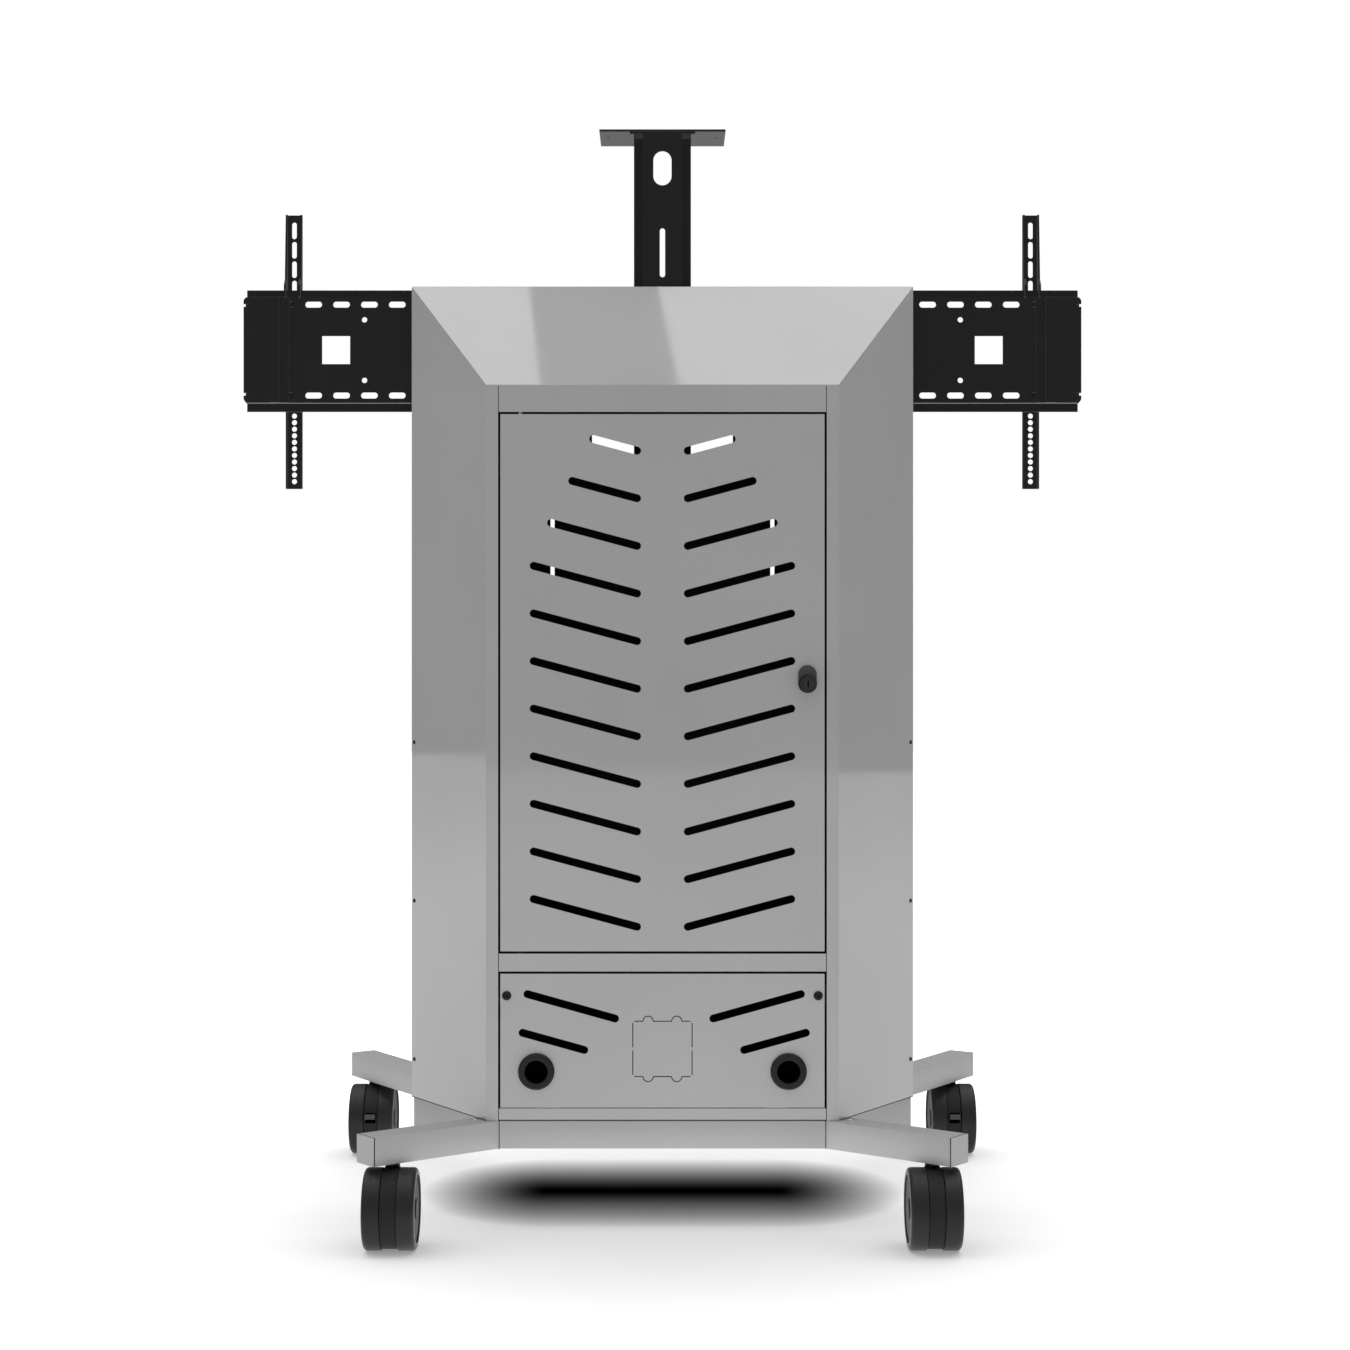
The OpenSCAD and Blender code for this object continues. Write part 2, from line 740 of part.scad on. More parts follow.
// Bottom plate with a stepped front edge, which leaves a seam above the crossbar
module bottom_plate() color(silver) in_frame() {
    translate([0, 0, base_top]) linear_extrude(2 * sheet_t) floor_2d(sill_step);
    block([-infill_half, 0, base_top + sheet_t], [infill_half, sill_step + sheet_t, base_top + 2 * sheet_t]);
    block([-infill_half, 0, base_top + sheet_t], [infill_half, sheet_t, sill_top]);
}

module equipment_shelf() color(silver) in_frame() {
    half_back = inside_x(shelf_back) - fit_gap;
    half_front = inside_x(shelf_front) - fit_gap;
    translate([0, 0, shelf_z]) linear_extrude(sheet_t) polygon([
        [-half_back, shelf_back], [half_back, shelf_back],
        [half_front, shelf_front], [-half_front, shelf_front]]);
    lip_half = inside_x(shelf_back) - angle_w - fit_gap;
    block([-lip_half, shelf_back, shelf_z - shelf_lip], [lip_half, shelf_back + sheet_t, shelf_z]);
    block([-lip_half, shelf_front - sheet_t, shelf_z - shelf_lip], [lip_half, shelf_front, shelf_z]);
}

module shelf_angles() color(silver) in_frame() both_sides() {
    y0 = shelf_back + angle_end;
    y1 = shelf_front - angle_end;
    translate([0, 0, shelf_z - sheet_t]) linear_extrude(sheet_t) polygon([
        [inside_x(y0), y0], [inside_x(y1), y1], [inside_x(y1) - angle_w, y1], [inside_x(y0) - angle_w, y0]]);
    translate([0, 0, shelf_z - angle_h]) linear_extrude(angle_h) polygon([
        [inside_x(y0), y0], [inside_x(y1), y1], [inside_x(y1) - skin_x, y1], [inside_x(y0) - skin_x, y0]]);
}

// One row of the door's herringbone: a pair of slots that rise outwards
module vent_row(row) {
    x1 = min(vent_out, vent_first + row * vent_step);
    z0 = door_top - vent_top - row * vent_pitch;
    z1 = z0 + (x1 - vent_in) * tan(vent_angle);
    slot_2d([vent_in, z0], [x1, z1], vent_w);
    slot_2d([-vent_in, z0], [-x1, z1], vent_w);
}

module door() color(silver) in_frame() difference() {
    block([-door_half, 0, door_z], [door_half, door_fold, door_top]);
    block([-door_half + sheet_t, sheet_t, door_z + sheet_t],
          [door_half - sheet_t, door_fold + cut, door_top - sheet_t]);
    stand_y(-cut, sheet_t + cut) for (row = [0 : vent_rows - 1]) vent_row(row);
    rod_y(lock_x, lock_z, -cut, sheet_t + cut, lock_barrel_d + 2 * run_gap);
    translate([hinge_x, hinge_back, door_z - cut]) cylinder(h = door_h + 2 * cut, d = pin_d);
}

module hinge_pins() color(plate_grey) in_frame() for (z = [door_top - pin_grip, door_z + pin_grip - pin_l])
    translate([hinge_x, hinge_back, z]) cylinder(h = pin_l, d = pin_d);

module lock_escutcheon() color(plastic_grey) in_frame() {
    r = plate_w / 2;
    low = lock_z - r + seat_gap;
    stand_y(-plate_t, 0) difference() {
        slot_2d([lock_x, low + r], [lock_x, low + plate_h - r], plate_w);
        translate([lock_x, lock_z]) circle(d = lock_barrel_d + 2 * run_gap);
    }
}

module lock_cylinder() color(black) in_frame() difference() {
    union() {
        rod_y(lock_x, lock_z, -lock_out, -plate_t - seat_gap, lock_head_d);
        rod_y(lock_x, lock_z, -lock_out, cam_y, lock_barrel_d);
    }
    block([lock_x - key_w / 2, -lock_out - cut, lock_z - key_l / 2],
          [lock_x + key_w / 2, -lock_out + key_depth, lock_z + key_l / 2]);
}

// The cam stands upright while the door is free to open
module lock_cam() color(plate_grey) in_frame() stand_y(cam_y, cam_y + cam_t) {
    translate([lock_x, lock_z]) circle(d = cam_w);
    translate([lock_x - cam_w / 2, lock_z]) square([cam_w, cam_l]);
}

// Cut lines of the knock-out plate, with small joints left standing at the corners and sides
module knock_lines_2d() {
    half = knock_w / 2;
    z0 = panel_z + knock_up;
    z1 = z0 + knock_h;
    for (side = [-1, 1]) for (part = [0, 1])
        translate([side * half - knock_line / 2, z0 + knock_joint + part * knock_h / 2])
            square([knock_line, knock_h / 2 - 2 * knock_joint]);
    for (z = [z0, z1]) {
        for (side = [-1, 1]) {
            inner = knock_tab_x + knock_tab_r - knock_line / 2;
            translate([side > 0 ? inner : -half + knock_joint, z - knock_line / 2])
                square([half - inner - knock_joint, knock_line]);
            translate([side * knock_tab_x, z]) difference() {
                circle(r = knock_tab_r);
                circle(r = knock_tab_r - knock_line);
                translate([-knock_tab_r, z > z0 ? -knock_tab_r : 0]) square([2 * knock_tab_r, knock_tab_r]);
            }
        }
        middle = knock_tab_x - knock_tab_r + knock_line / 2;
        translate([-middle, z - knock_line / 2]) square([2 * middle, knock_line]);
    }
}

function vent_end(i) = [panel_vent_shares[i].x * door_half, panel_z + panel_vent_shares[i].y * panel_h];

module access_panel() color(silver) in_frame() difference() {
    union() {
        block([-door_half, 0, panel_z], [door_half, sheet_t, panel_top]);
        block([-door_half, 0, panel_top - sheet_t], [door_half, panel_fold, panel_top]);
        block([-door_half, 0, panel_z], [door_half, panel_fold, panel_z + sheet_t]);
        both_sides() block([grommet_x - tab_w, sheet_t + seat_gap, panel_z - tab_h],
                           [grommet_x, 2 * sheet_t + seat_gap, panel_z + sheet_t]);
    }
    stand_y(-cut, sheet_t + cut) {
        for (i = [0, 2]) {
            mirror([1, 0]) slot_2d(vent_end(i), vent_end(i + 1), panel_vent_w);
            translate([panel_vent_shift, 0]) slot_2d(vent_end(i), vent_end(i + 1), panel_vent_w);
        }
        knock_lines_2d();
    }
    for (side = [-1, 1]) {
        rod_y(side * screw_x, screw_z, -cut, sheet_t + cut, screw_shank_d + 2 * run_gap);
        rod_y(side * grommet_x, grommet_z, -cut, sheet_t + cut, grommet_neck_d);
    }
}

module panel_screws() color(black) in_frame() for (side = [-1, 1]) difference() {
    union() {
        rod_y(side * screw_x, screw_z, -screw_head_h, 0, screw_head_d);
        rod_y(side * screw_x, screw_z, -screw_head_h, sheet_t + lug_t + screw_head_h, screw_shank_d);
    }
    rod_y(side * screw_x, screw_z, -screw_head_h - cut, -screw_head_h / 3, screw_shank_d);
}

module cable_grommet(side) color(black) in_frame()
    translate([side * grommet_x, 0, grommet_z]) rotate([90, 0, 0]) rotate_extrude($fn = 96) polygon([
        [grommet_bore / 2, -sheet_t - grommet_back_t], [grommet_back_d / 2, -sheet_t - grommet_back_t],
        [grommet_back_d / 2, -sheet_t], [grommet_neck_d / 2, -sheet_t], [grommet_neck_d / 2, 0],
        [grommet_d / 2, 0], [grommet_d / 2, grommet_out - grommet_edge],
        [grommet_d / 2 - grommet_edge, grommet_out], [grommet_bore / 2, grommet_out]]);

module cable_grommet_left() cable_grommet(-1);
module cable_grommet_right() cable_grommet(1);

// Screen mount
module plate_holes_2d() {
    for (row = [-1, 1]) {
        z = web_mid + row * slot_spread / 2;
        for (i = [0 : slots_a_side - 1]) {
            x = hole_out - i * hole_pitch;
            run = (hole_l - hole_w) / 2;
            slot_2d([x - run, z], [x + run, z], hole_w);
        }
        translate([round_hole_x, web_mid + row * round_spread / 2]) circle(d = round_hole_d);
        translate([mount_slot_x, web_mid + row * bolt_spread / 2]) circle(d = bolt_d);
        translate([clip_screw_x(), web_mid + row * clip_spread / 2]) circle(d = bolt_d);
    }
    translate([port_x - port_w / 2, web_mid - port_w / 2]) square([port_w, port_w]);
}

function clip_screw_x() = upright_w / 2 + fit_gap + clip_w / 2;

module mount_plate() color(black) in_frame() {
    half = mount_w / 2 - mount_t;
    difference() {
        block([-half, plate_y, web_z], [half, plate_far, web_top]);
        stand_y(plate_y - cut, plate_far + cut) both_sides() plate_holes_2d();
    }
    for (z = [web_z, web_top - mount_t]) block([-half, plate_y, z], [half, lip_far, z + mount_t]);
    block([-half, lip_near, web_top - mount_t], [half, lip_far, lip_top]);
    block([-half, lip_near, lip_low], [half, lip_far, web_z + mount_t]);
}

module mount_wing(side) color(black) in_frame() on_side(side) {
    x1 = mount_w / 2;
    x0 = x1 - wing_w;
    difference() {
        union() {
            block([x0, plate_y - mount_t, web_z], [x1 - corner, plate_y, web_top]);
            block([x1 - corner - cut, plate_y - mount_t, web_z + corner], [x1, plate_y, web_top - corner]);
            for (z = [web_z + corner, web_top - corner])
                rod_y(x1 - corner, z, plate_y - mount_t, plate_y, 2 * corner);
            block([x1 - wing_rib_x - wing_rib_w, plate_y - mount_t - wing_rib_t, web_z],
                  [x1 - wing_rib_x, plate_y, web_top]);
        }
        for (z = [web_z + corner + notch_w, web_top - corner - 2 * notch_w])
            block([x1 - notch_l, plate_y - mount_t - cut, z], [x1 + cut, plate_y + cut, z + notch_w]);
    }
}

module mount_wing_left() mount_wing(-1);
module mount_wing_right() mount_wing(1);

module mount_spacers() color(black) in_frame() both_sides() difference() {
    z0 = web_mid - spacer_h / 2;
    x0 = mount_slot_x - spacer_w / 2;
    block([x0, front_y, z0], [x0 + spacer_w, plate_y, z0 + spacer_h]);
    block([x0 + mount_t, front_y + mount_t, z0 - cut],
          [x0 + spacer_w - mount_t, plate_y - mount_t, z0 + spacer_h + cut]);
    for (row = [-1, 1])
        rod_y(mount_slot_x, web_mid + row * bolt_spread / 2, front_y - cut, plate_y + cut, bolt_d);
}

// Guides that hold the upright's brims against the mount plate
module upright_clips() color(black) in_frame() both_sides() difference() {
    x0 = upright_w / 2 + fit_gap;
    z0 = web_mid - clip_h / 2;
    near = brim_far - upright_t - fit_gap;
    union() {
        block([x0, near, z0], [x0 + clip_w, plate_y, z0 + clip_h]);
        block([x0 - clip_over, near - clip_t, z0], [x0 + clip_w, near, z0 + clip_h]);
    }
    for (row = [-1, 1])
        rod_y(clip_screw_x(), web_mid + row * clip_spread / 2, near - clip_t - cut, plate_y + cut, bolt_d);
}

// A mount bolt with its head on the screen side, its washer and nut inside the cabinet
module spacer_bolt(x, z) {
    inner = cabinet_d - bolt_slack;
    rod_y(x, z, inner - washer_t - nut_h - bolt_end, plate_far, bolt_d);
    rod_y(x, z, plate_far, plate_far + bolt_head_h, bolt_head_d);
    rod_y(x, z, inner - washer_t, inner, washer_d);
    translate([x, inner - washer_t, z]) rotate([90, 0, 0]) cylinder(h = nut_h, d = nut_d, $fn = 6);
}

module clip_screw(x, z) {
    rod_y(x, z, brim_far - upright_t - fit_gap - clip_t, plate_far, bolt_d);
    rod_y(x, z, plate_far, plate_far + bolt_head_h, bolt_head_d);
}

module mount_bolts() color(plate_grey) in_frame() both_sides() for (row = [-1, 1]) {
    spacer_bolt(mount_slot_x, web_mid + row * bolt_spread / 2);
    clip_screw(clip_screw_x(), web_mid + row * clip_spread / 2);
}

// Side view of an arm's flange: hook over the upper lip, rest along both lips and jaw inside the rail
module arm_flange_2d() polygon([
    [arm_far, arm_low], [arm_y - flange_d, arm_low], [arm_y - flange_d, lip_low],
    [arm_rest, lip_low + jaw_h], [arm_rest, jaw_top - jaw_h], [finger_near, jaw_top - jaw_h],
    [finger_near, jaw_top], [arm_rest, jaw_top],
    [arm_rest, lip_top + seat_gap], [finger_far, lip_top + seat_gap], [finger_far, finger_low],
    [finger_near, finger_low], [finger_near, hook_top], [arm_rest, hook_top + jaw_h],
    [arm_y - flange_d, arm_top], [arm_far, arm_top]]);

module screen_arm(side) color(black) in_frame() translate([side * arm_x, 0, 0]) difference() {
    run = (arm_slot_l - arm_slot_w) / 2;
    union() {
        block([-arm_w / 2, arm_y, arm_low], [arm_w / 2, arm_far, arm_top]);
        for (x = [-arm_w / 2, arm_w / 2 - mount_t]) stand_x(x, x + mount_t) arm_flange_2d();
        block([-arm_w / 2, finger_near, jaw_top - jaw_t], [arm_w / 2, arm_far, jaw_top]);
    }
    stand_y(arm_y - cut, arm_far + cut) {
        for (i = [0 : arm_slots - 1]) {
            z = arm_top - arm_slot_in - arm_slot_l / 2 - i * arm_slot_pitch;
            slot_2d([0, z - run], [0, z + run], arm_slot_w);
        }
        for (i = [0 : arm_holes - 1])
            translate([0, arm_low + arm_hole_in + i * arm_hole_pitch]) circle(d = arm_hole_d);
    }
    translate([0, arm_screw_y, jaw_top - jaw_t - cut]) cylinder(h = jaw_t + 2 * cut, d = arm_screw_d);
}

module screen_arm_left() screen_arm(-1);
module screen_arm_right() screen_arm(1);

module arm_screw(side) color(plate_grey) in_frame() translate([side * arm_x, arm_screw_y, 0]) {
    translate([0, 0, jaw_top - jaw_t - arm_screw_head_h])
        cylinder(h = arm_screw_head_h + jaw_t + jaw_gap - seat_gap, d = arm_screw_d);
    translate([0, 0, jaw_top - jaw_t - arm_screw_head_h]) cylinder(h = arm_screw_head_h, d = arm_screw_head_d);
}

module arm_screw_left() arm_screw(-1);
module arm_screw_right() arm_screw(1);

// Camera upright: a hat section with its raised middle towards the cabinet
module camera_upright() color(black) in_frame() difference() {
    union() {
        translate([0, 0, upright_low]) linear_extrude(upright_l) {
            brim = upright_w / 2;
            hat = hat_w / 2;
            polygon([
                [-hat, upright_y], [hat, upright_y], [hat, brim_far - upright_t], [brim, brim_far - upright_t],
                [brim, brim_far], [hat - upright_t, brim_far], [hat - upright_t, upright_y + upright_t],
                [-hat + upright_t, upright_y + upright_t], [-hat + upright_t, brim_far], [-brim, brim_far],
                [-brim, brim_far - upright_t], [-hat, brim_far - upright_t]]);
        }
        block([-upright_w / 2, upright_y, upright_top - foot_t],
              [upright_w / 2, upright_y + foot_d, upright_top]);
        block([-foot_w / 2, upright_y, upright_top - foot_t],
              [foot_w / 2, upright_y + foot_lip, upright_top]);
    }
    stand_y(upright_y - cut, upright_y + upright_t + cut) {
        slot_2d([0, oval_top - oval_w / 2], [0, oval_top - oval_h + oval_w / 2], oval_w);
        slot_high = upright_top - slot_gap - slot_w / 2;
        slot_2d([0, slot_high], [0, slot_high - slot_h + slot_w], slot_w);
    }
    for (side = [-1, 1])
        translate([side * shelf_screw_x, upright_y + shelf_screw_y, upright_top - foot_t - cut])
            cylinder(h = foot_t + 2 * cut, d = shelf_screw_d);
}

module camera_shelf() color(plate_grey) in_frame() difference() {
    block([-cam_shelf_w / 2, upright_y, upright_top], [cam_shelf_w / 2, upright_y + cam_shelf_d, shelf_top_z]);
    for (side = [-1, 1]) {
        translate([side * shelf_hole_x, upright_y + shelf_hole_y, upright_top - cut])
            cylinder(h = cam_shelf_t + 2 * cut, d = shelf_hole_d);
        translate([side * shelf_screw_x, upright_y + shelf_screw_y, upright_top - cut])
            cylinder(h = cam_shelf_t + 2 * cut, d = shelf_screw_d);
        translate([side * shelf_screw_x, upright_y + shelf_screw_y, shelf_top_z - shelf_screw_head_h])
            cylinder(h = shelf_screw_head_h + cut, d = shelf_screw_head_d);
    }
    translate([0, upright_y + camera_hole_y, upright_top - cut])
        cylinder(h = cam_shelf_t + 2 * cut, d = camera_hole_d);
}

module shelf_screws() color(plate_grey) in_frame() for (side = [-1, 1])
    translate([side * shelf_screw_x, upright_y + shelf_screw_y, 0]) {
        low = upright_top - foot_t - shelf_nut_h;
        translate([0, 0, low]) cylinder(h = shelf_top_z - low, d = shelf_screw_d);
        translate([0, 0, shelf_top_z - shelf_screw_head_h])
            cylinder(h = shelf_screw_head_h, d = shelf_screw_head_d);
        translate([0, 0, low]) cylinder(h = shelf_nut_h, d = shelf_screw_head_d, $fn = 6);
    }

rear_crossbar();
front_crossbar();
base_rails();
rear_leg_left();
rear_leg_right();
front_leg_left();
front_leg_right();
rear_left_stem();
rear_left_housing();
rear_left_axle();
rear_left_wheel_outer();
rear_left_wheel_inner();
rear_right_stem();
rear_right_housing();
rear_right_axle();
rear_right_wheel_outer();
rear_right_wheel_inner();
front_left_stem();
front_left_housing();
front_left_axle();
front_left_wheel_outer();
front_left_wheel_inner();
front_right_stem();
front_right_housing();
front_right_axle();
front_right_wheel_outer();
front_right_wheel_inner();
brake_pedal_left();
brake_pedal_right();
side_panel_left();
side_panel_right();
hood();
front_panel();
header_band();
bay_floor();
bottom_plate();
equipment_shelf();
shelf_angles();
door();
hinge_pins();
lock_escutcheon();
lock_cylinder();
lock_cam();
access_panel();
panel_screws();
cable_grommet_left();
cable_grommet_right();
mount_plate();
mount_wing_left();
mount_wing_right();
mount_spacers();
upright_clips();
mount_bolts();
screen_arm_left();
screen_arm_right();
arm_screw_left();
arm_screw_right();
camera_upright();
camera_shelf();
shelf_screws();
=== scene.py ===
# %% [markdown]
# # A media cart, finished in Blender
#
# The real object is a slim steel cabinet on four splayed legs with twin-wheel casters. A wide black
# mount with two sliding arms carries a screen on its far side, and a camera shelf stands above it.
# The steel parts come into this scene with their exact sizes. This file gives them rounded edges,
# paint, rubber and zinc, and adds the small things that a plain solid leaves out.

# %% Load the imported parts
import json
import math
import bmesh
import bpy
from mathutils import Matrix, Vector


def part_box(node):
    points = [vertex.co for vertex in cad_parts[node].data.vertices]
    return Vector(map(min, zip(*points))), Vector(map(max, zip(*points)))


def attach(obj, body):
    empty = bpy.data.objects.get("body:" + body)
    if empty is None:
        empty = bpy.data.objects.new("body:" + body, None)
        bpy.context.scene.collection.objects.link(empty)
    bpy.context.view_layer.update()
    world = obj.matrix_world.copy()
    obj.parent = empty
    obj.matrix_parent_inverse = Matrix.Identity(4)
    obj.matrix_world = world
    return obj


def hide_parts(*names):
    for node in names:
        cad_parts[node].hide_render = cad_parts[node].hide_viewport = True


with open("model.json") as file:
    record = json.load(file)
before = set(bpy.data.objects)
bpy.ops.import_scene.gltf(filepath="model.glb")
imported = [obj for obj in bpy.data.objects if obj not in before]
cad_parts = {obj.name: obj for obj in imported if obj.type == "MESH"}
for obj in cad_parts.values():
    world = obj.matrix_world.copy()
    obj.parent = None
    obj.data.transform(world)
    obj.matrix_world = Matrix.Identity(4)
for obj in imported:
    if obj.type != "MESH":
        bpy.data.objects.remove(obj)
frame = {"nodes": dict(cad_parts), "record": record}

scene = bpy.context.scene
nodes = frame["nodes"]
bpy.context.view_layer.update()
bodies = frame["record"]["behaviour"]["bodies"]
body_of_node = {node: body for body, members in bodies.items() for node in members}
slot_of_node = {part["node"]: part["material_slot"] for part in frame["record"]["subparts"]}

# %% [markdown]
# ## Short ways to make nodes and meshes
#
# Materials, the studio and the node trees below are all made of nodes, and a node is always made
# alike: add it, choose its mode, then give each input a number or a link. A few helpers say that
# once. The same goes for putting a mesh into the scene.

# %% Helpers for nodes


def fill(tree, node, values):
    """Sets a node's inputs: values maps an input's name or place to a link or a plain value."""
    for key, value in values.items():
        if isinstance(value, bpy.types.NodeSocket):
            tree.links.new(value, node.inputs[key])
        else:
            node.inputs[key].default_value = value
    return node


def add_node(tree, kind, values=None, **settings):
    """A new node with these settings and inputs."""
    node = tree.nodes.new(kind)
    for key, value in settings.items():
        setattr(node, key, value)
    return fill(tree, node, values or {})


def reckon(tree, operation, first, second=0.0):
    """One step of arithmetic; each input is a link or a number."""
    return add_node(tree, "ShaderNodeMath", {0: first, 1: second}, operation=operation).outputs[0]


def spread(tree, value, low, high, to_low, to_high, shape="LINEAR"):
    """Maps value from low..high to to_low..to_high, clamped."""
    values = {"Value": value, "From Min": low, "From Max": high, "To Min": to_low, "To Max": to_high}
    return add_node(tree, "ShaderNodeMapRange", values, interpolation_type=shape).outputs["Result"]


def blend_colours(tree, factor, first, second):
    """A colour between first and second; each is a link or three numbers."""
    first, second = ((*c, 1) if isinstance(c, tuple) else c for c in (first, second))
    return add_node(tree, "ShaderNodeMix", {0: factor, 6: first, 7: second}, data_type="RGBA").outputs[2]


def new_material(name):
    """A new material with its node tree and its Principled shader."""
    material = bpy.data.materials.new(name)
    material.use_nodes = True
    tree = material.node_tree
    return material, tree, tree.nodes["Principled BSDF"]


print("node helpers ready")

# %% Helpers for meshes


def placed(name, data):
    """An object with this data, at the origin and in the scene."""
    obj = bpy.data.objects.new(name, data)
    scene.collection.objects.link(obj)
    return obj


def plain_object(name, points, edges=(), faces=()):
    """A mesh object from points in metres."""
    mesh = bpy.data.meshes.new(name)
    mesh.from_pydata(points, edges, faces)
    return placed(name, mesh)


def object_from(name, bm):
    """An object from a bmesh, which is used up."""
    mesh = bpy.data.meshes.new(name)
    bm.to_mesh(mesh)
    bm.free()
    return placed(name, mesh)


print("mesh helpers ready")

# %% [markdown]
# ## The camera
#
# The cart is seen squarely from its door side, with the lens at tabletop height. A long lens keeps
# the near and the far legs close in size. The small shift places the cart a little left of and
# above the middle of the picture, without tilting the camera, so upright edges stay upright.

# %% Camera
camera_distance, camera_height = 3.1, 0.72
door_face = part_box("door")[0].y

lens = bpy.data.cameras.new("photo_view")
lens.lens = 65.7
lens.sensor_width = 36
lens.shift_x = 0.0093
lens.shift_y = -0.0111
camera = placed("photo_view", lens)
camera.location = (0, door_face - camera_distance, camera_height)
camera.rotation_euler = (math.radians(90), 0, 0)
scene.camera = camera
print("camera at", tuple(round(v, 3) for v in camera.location))

# %% [markdown]
# ## The studio
#
# A white sweep, two large soft boxes overhead and grey walls behind the camera. The gap between the
# two boxes is what the sloped hood mirrors as a darker band, and the far end of the white floor is
# the line across the flared sides. Nothing of this is painted on the cart: its coat reflects it.
#
# The floor glows by itself, so that it stays white far from the boxes. A light path node tells the
# camera's own rays from the mirrored ones, so the glow that the camera sees and the glow that the
# cart mirrors can differ. The mirrored glow is strongest near the cart and lights it from below.
# The seen glow is dimmed near the cart as painted shade, and fades into a soft painted shadow under
# the cart, where the floor's colour is darkened too.

# %% The floor's shades
floor_material, floor_tree, floor_shader = new_material("white_sweep")
floor_white, floor_rough = (0.93,) * 3, 0.15
# The painted shadow under the cart: its middle, the half width of its flat core, its reach, its curve.
painted_shadow_middle, painted_shadow_flat, painted_shadow_reach, painted_shadow_curve = (0.0, 0.03), 0.155, (0.172, 0.215), 2.2
cart_middle = (0.0, -0.05)
spot = add_node(floor_tree, "ShaderNodeTexCoord").outputs["Object"]
spot = add_node(floor_tree, "ShaderNodeSeparateXYZ", {0: spot}).outputs


def floor_math(operation, first, second=0.0):
    return reckon(floor_tree, operation, first, second)


def distance_from(middle, flat, reach):
    """0 at the middle, with a flat stretch of half width flat in X, and 1 at reach beyond it."""
    x = floor_math("ABSOLUTE", floor_math("SUBTRACT", spot[0], middle[0]))
    x = floor_math("DIVIDE", floor_math("MAXIMUM", floor_math("SUBTRACT", x, flat), 0.0), reach[0])
    y = floor_math("DIVIDE", floor_math("SUBTRACT", spot[1], middle[1]), reach[1])
    square = floor_math("ADD", floor_math("MULTIPLY", x, x), floor_math("MULTIPLY", y, y))
    return floor_math("SQRT", square)


from_cart = distance_from(cart_middle, 0.0, (1.0, 1.0))


def from_to(near, far, at_near, at_far):
    """A soft step with the distance from the cart, in metres."""
    return spread(floor_tree, from_cart, near, far, at_near, at_far, "SMOOTHSTEP")


# The painted shadow: 0 under the cart and 1 beyond its reach, deepened near the cart.
painted_shadow = distance_from(painted_shadow_middle, painted_shadow_flat, painted_shadow_reach)
painted_shadow = floor_math("POWER", floor_math("MINIMUM", painted_shadow, 1.0), painted_shadow_curve)
painted_shadow = floor_math("MULTIPLY", painted_shadow, from_to(0.2, 0.8, 0.82, 1.0))
# The glow that the cart mirrors is strongest near it, and lights the cart from below.
mirrored = floor_math("ADD", from_to(0.2, 0.7, 0.9, 0.0), from_to(0.6, 5.0, 0.14, 0.29))
# The glow that the camera sees: dimmed near the cart as painted shade, and by the painted shadow.
seen = floor_math("MULTIPLY", painted_shadow, from_to(0.35, 1.3, 0.27, 0.67))
camera_ray = add_node(floor_tree, "ShaderNodeLightPath").outputs["Is Camera Ray"]
glow = add_node(floor_tree, "ShaderNodeMix", {0: camera_ray, 2: mirrored, 3: seen}).outputs[0]
# The floor's colour is darkened in the painted shadow too.
fill(floor_tree, floor_shader, {
    "Base Color": blend_colours(floor_tree, painted_shadow, (0.0,) * 3, floor_white), "Roughness": floor_rough,
    "Specular IOR Level": 0.0, "Emission Color": (1, 1, 1, 1), "Emission Strength": glow})
print("floor shades:", len(floor_tree.nodes), "nodes")

# %% Floor and lights
floor_left, floor_right, floor_near, floor_far = -13.9, 11.3, -13.2, 16.0
floor = plain_object("studio_floor", faces=[(0, 1, 2, 3)], points=[
    (floor_left, floor_near, 0), (floor_right, floor_near, 0),
    (floor_right, floor_far, 0), (floor_left, floor_far, 0)])
floor.data.materials.append(floor_material)

box_w, box_l, box_up, box_watts, box_y = 5.0, 6.0, 5.0, 102, 0.95


def soft_box(name, edge_x, side, turn):
    """A soft box overhead. Its inner edge passes through edge_x, turned by turn degrees."""
    light = bpy.data.lights.new(name, "AREA")
    light.shape = "RECTANGLE"
    light.size, light.size_y = box_w, box_l
    light.energy = box_watts
    obj = placed(name, light)
    turned_by = Matrix.Rotation(math.radians(turn), 3, "Z")
    obj.location = Vector((edge_x, box_y, box_up)) + turned_by @ Vector((side * box_w / 2, 0, 0))
    obj.rotation_euler = (0, 0, math.radians(turn))


soft_box("box_left", -0.37, -1, 6.5)
soft_box("box_right", 0.02, 1, 11.5)
print("floor:", round(floor_right - floor_left, 1), "m wide, under two soft boxes")

# %% Walls
scene.view_settings.view_transform = "Standard"
world = bpy.data.worlds.new("studio_walls")
scene.world = world
world.use_nodes = True
wall_tree = world.node_tree
wall_tree.nodes.clear()
looking = add_node(wall_tree, "ShaderNodeTexCoord").outputs["Generated"]
looking = add_node(wall_tree, "ShaderNodeSeparateXYZ", {0: looking}).outputs
wall_tone = spread(wall_tree, looking[1], -1.0, 1.0, 0.51, 0.26)
ceiling = spread(wall_tree, looking[2], 0.55, 0.9, 0.0, 0.36)
walls = add_node(wall_tree, "ShaderNodeBackground", {
    "Color": (1.0, 1.0, 1.008, 1), "Strength": reckon(wall_tree, "ADD", wall_tone, ceiling)})
backdrop = add_node(wall_tree, "ShaderNodeBackground", {"Color": (1, 1, 1, 1)})
camera_ray = add_node(wall_tree, "ShaderNodeLightPath").outputs["Is Camera Ray"]
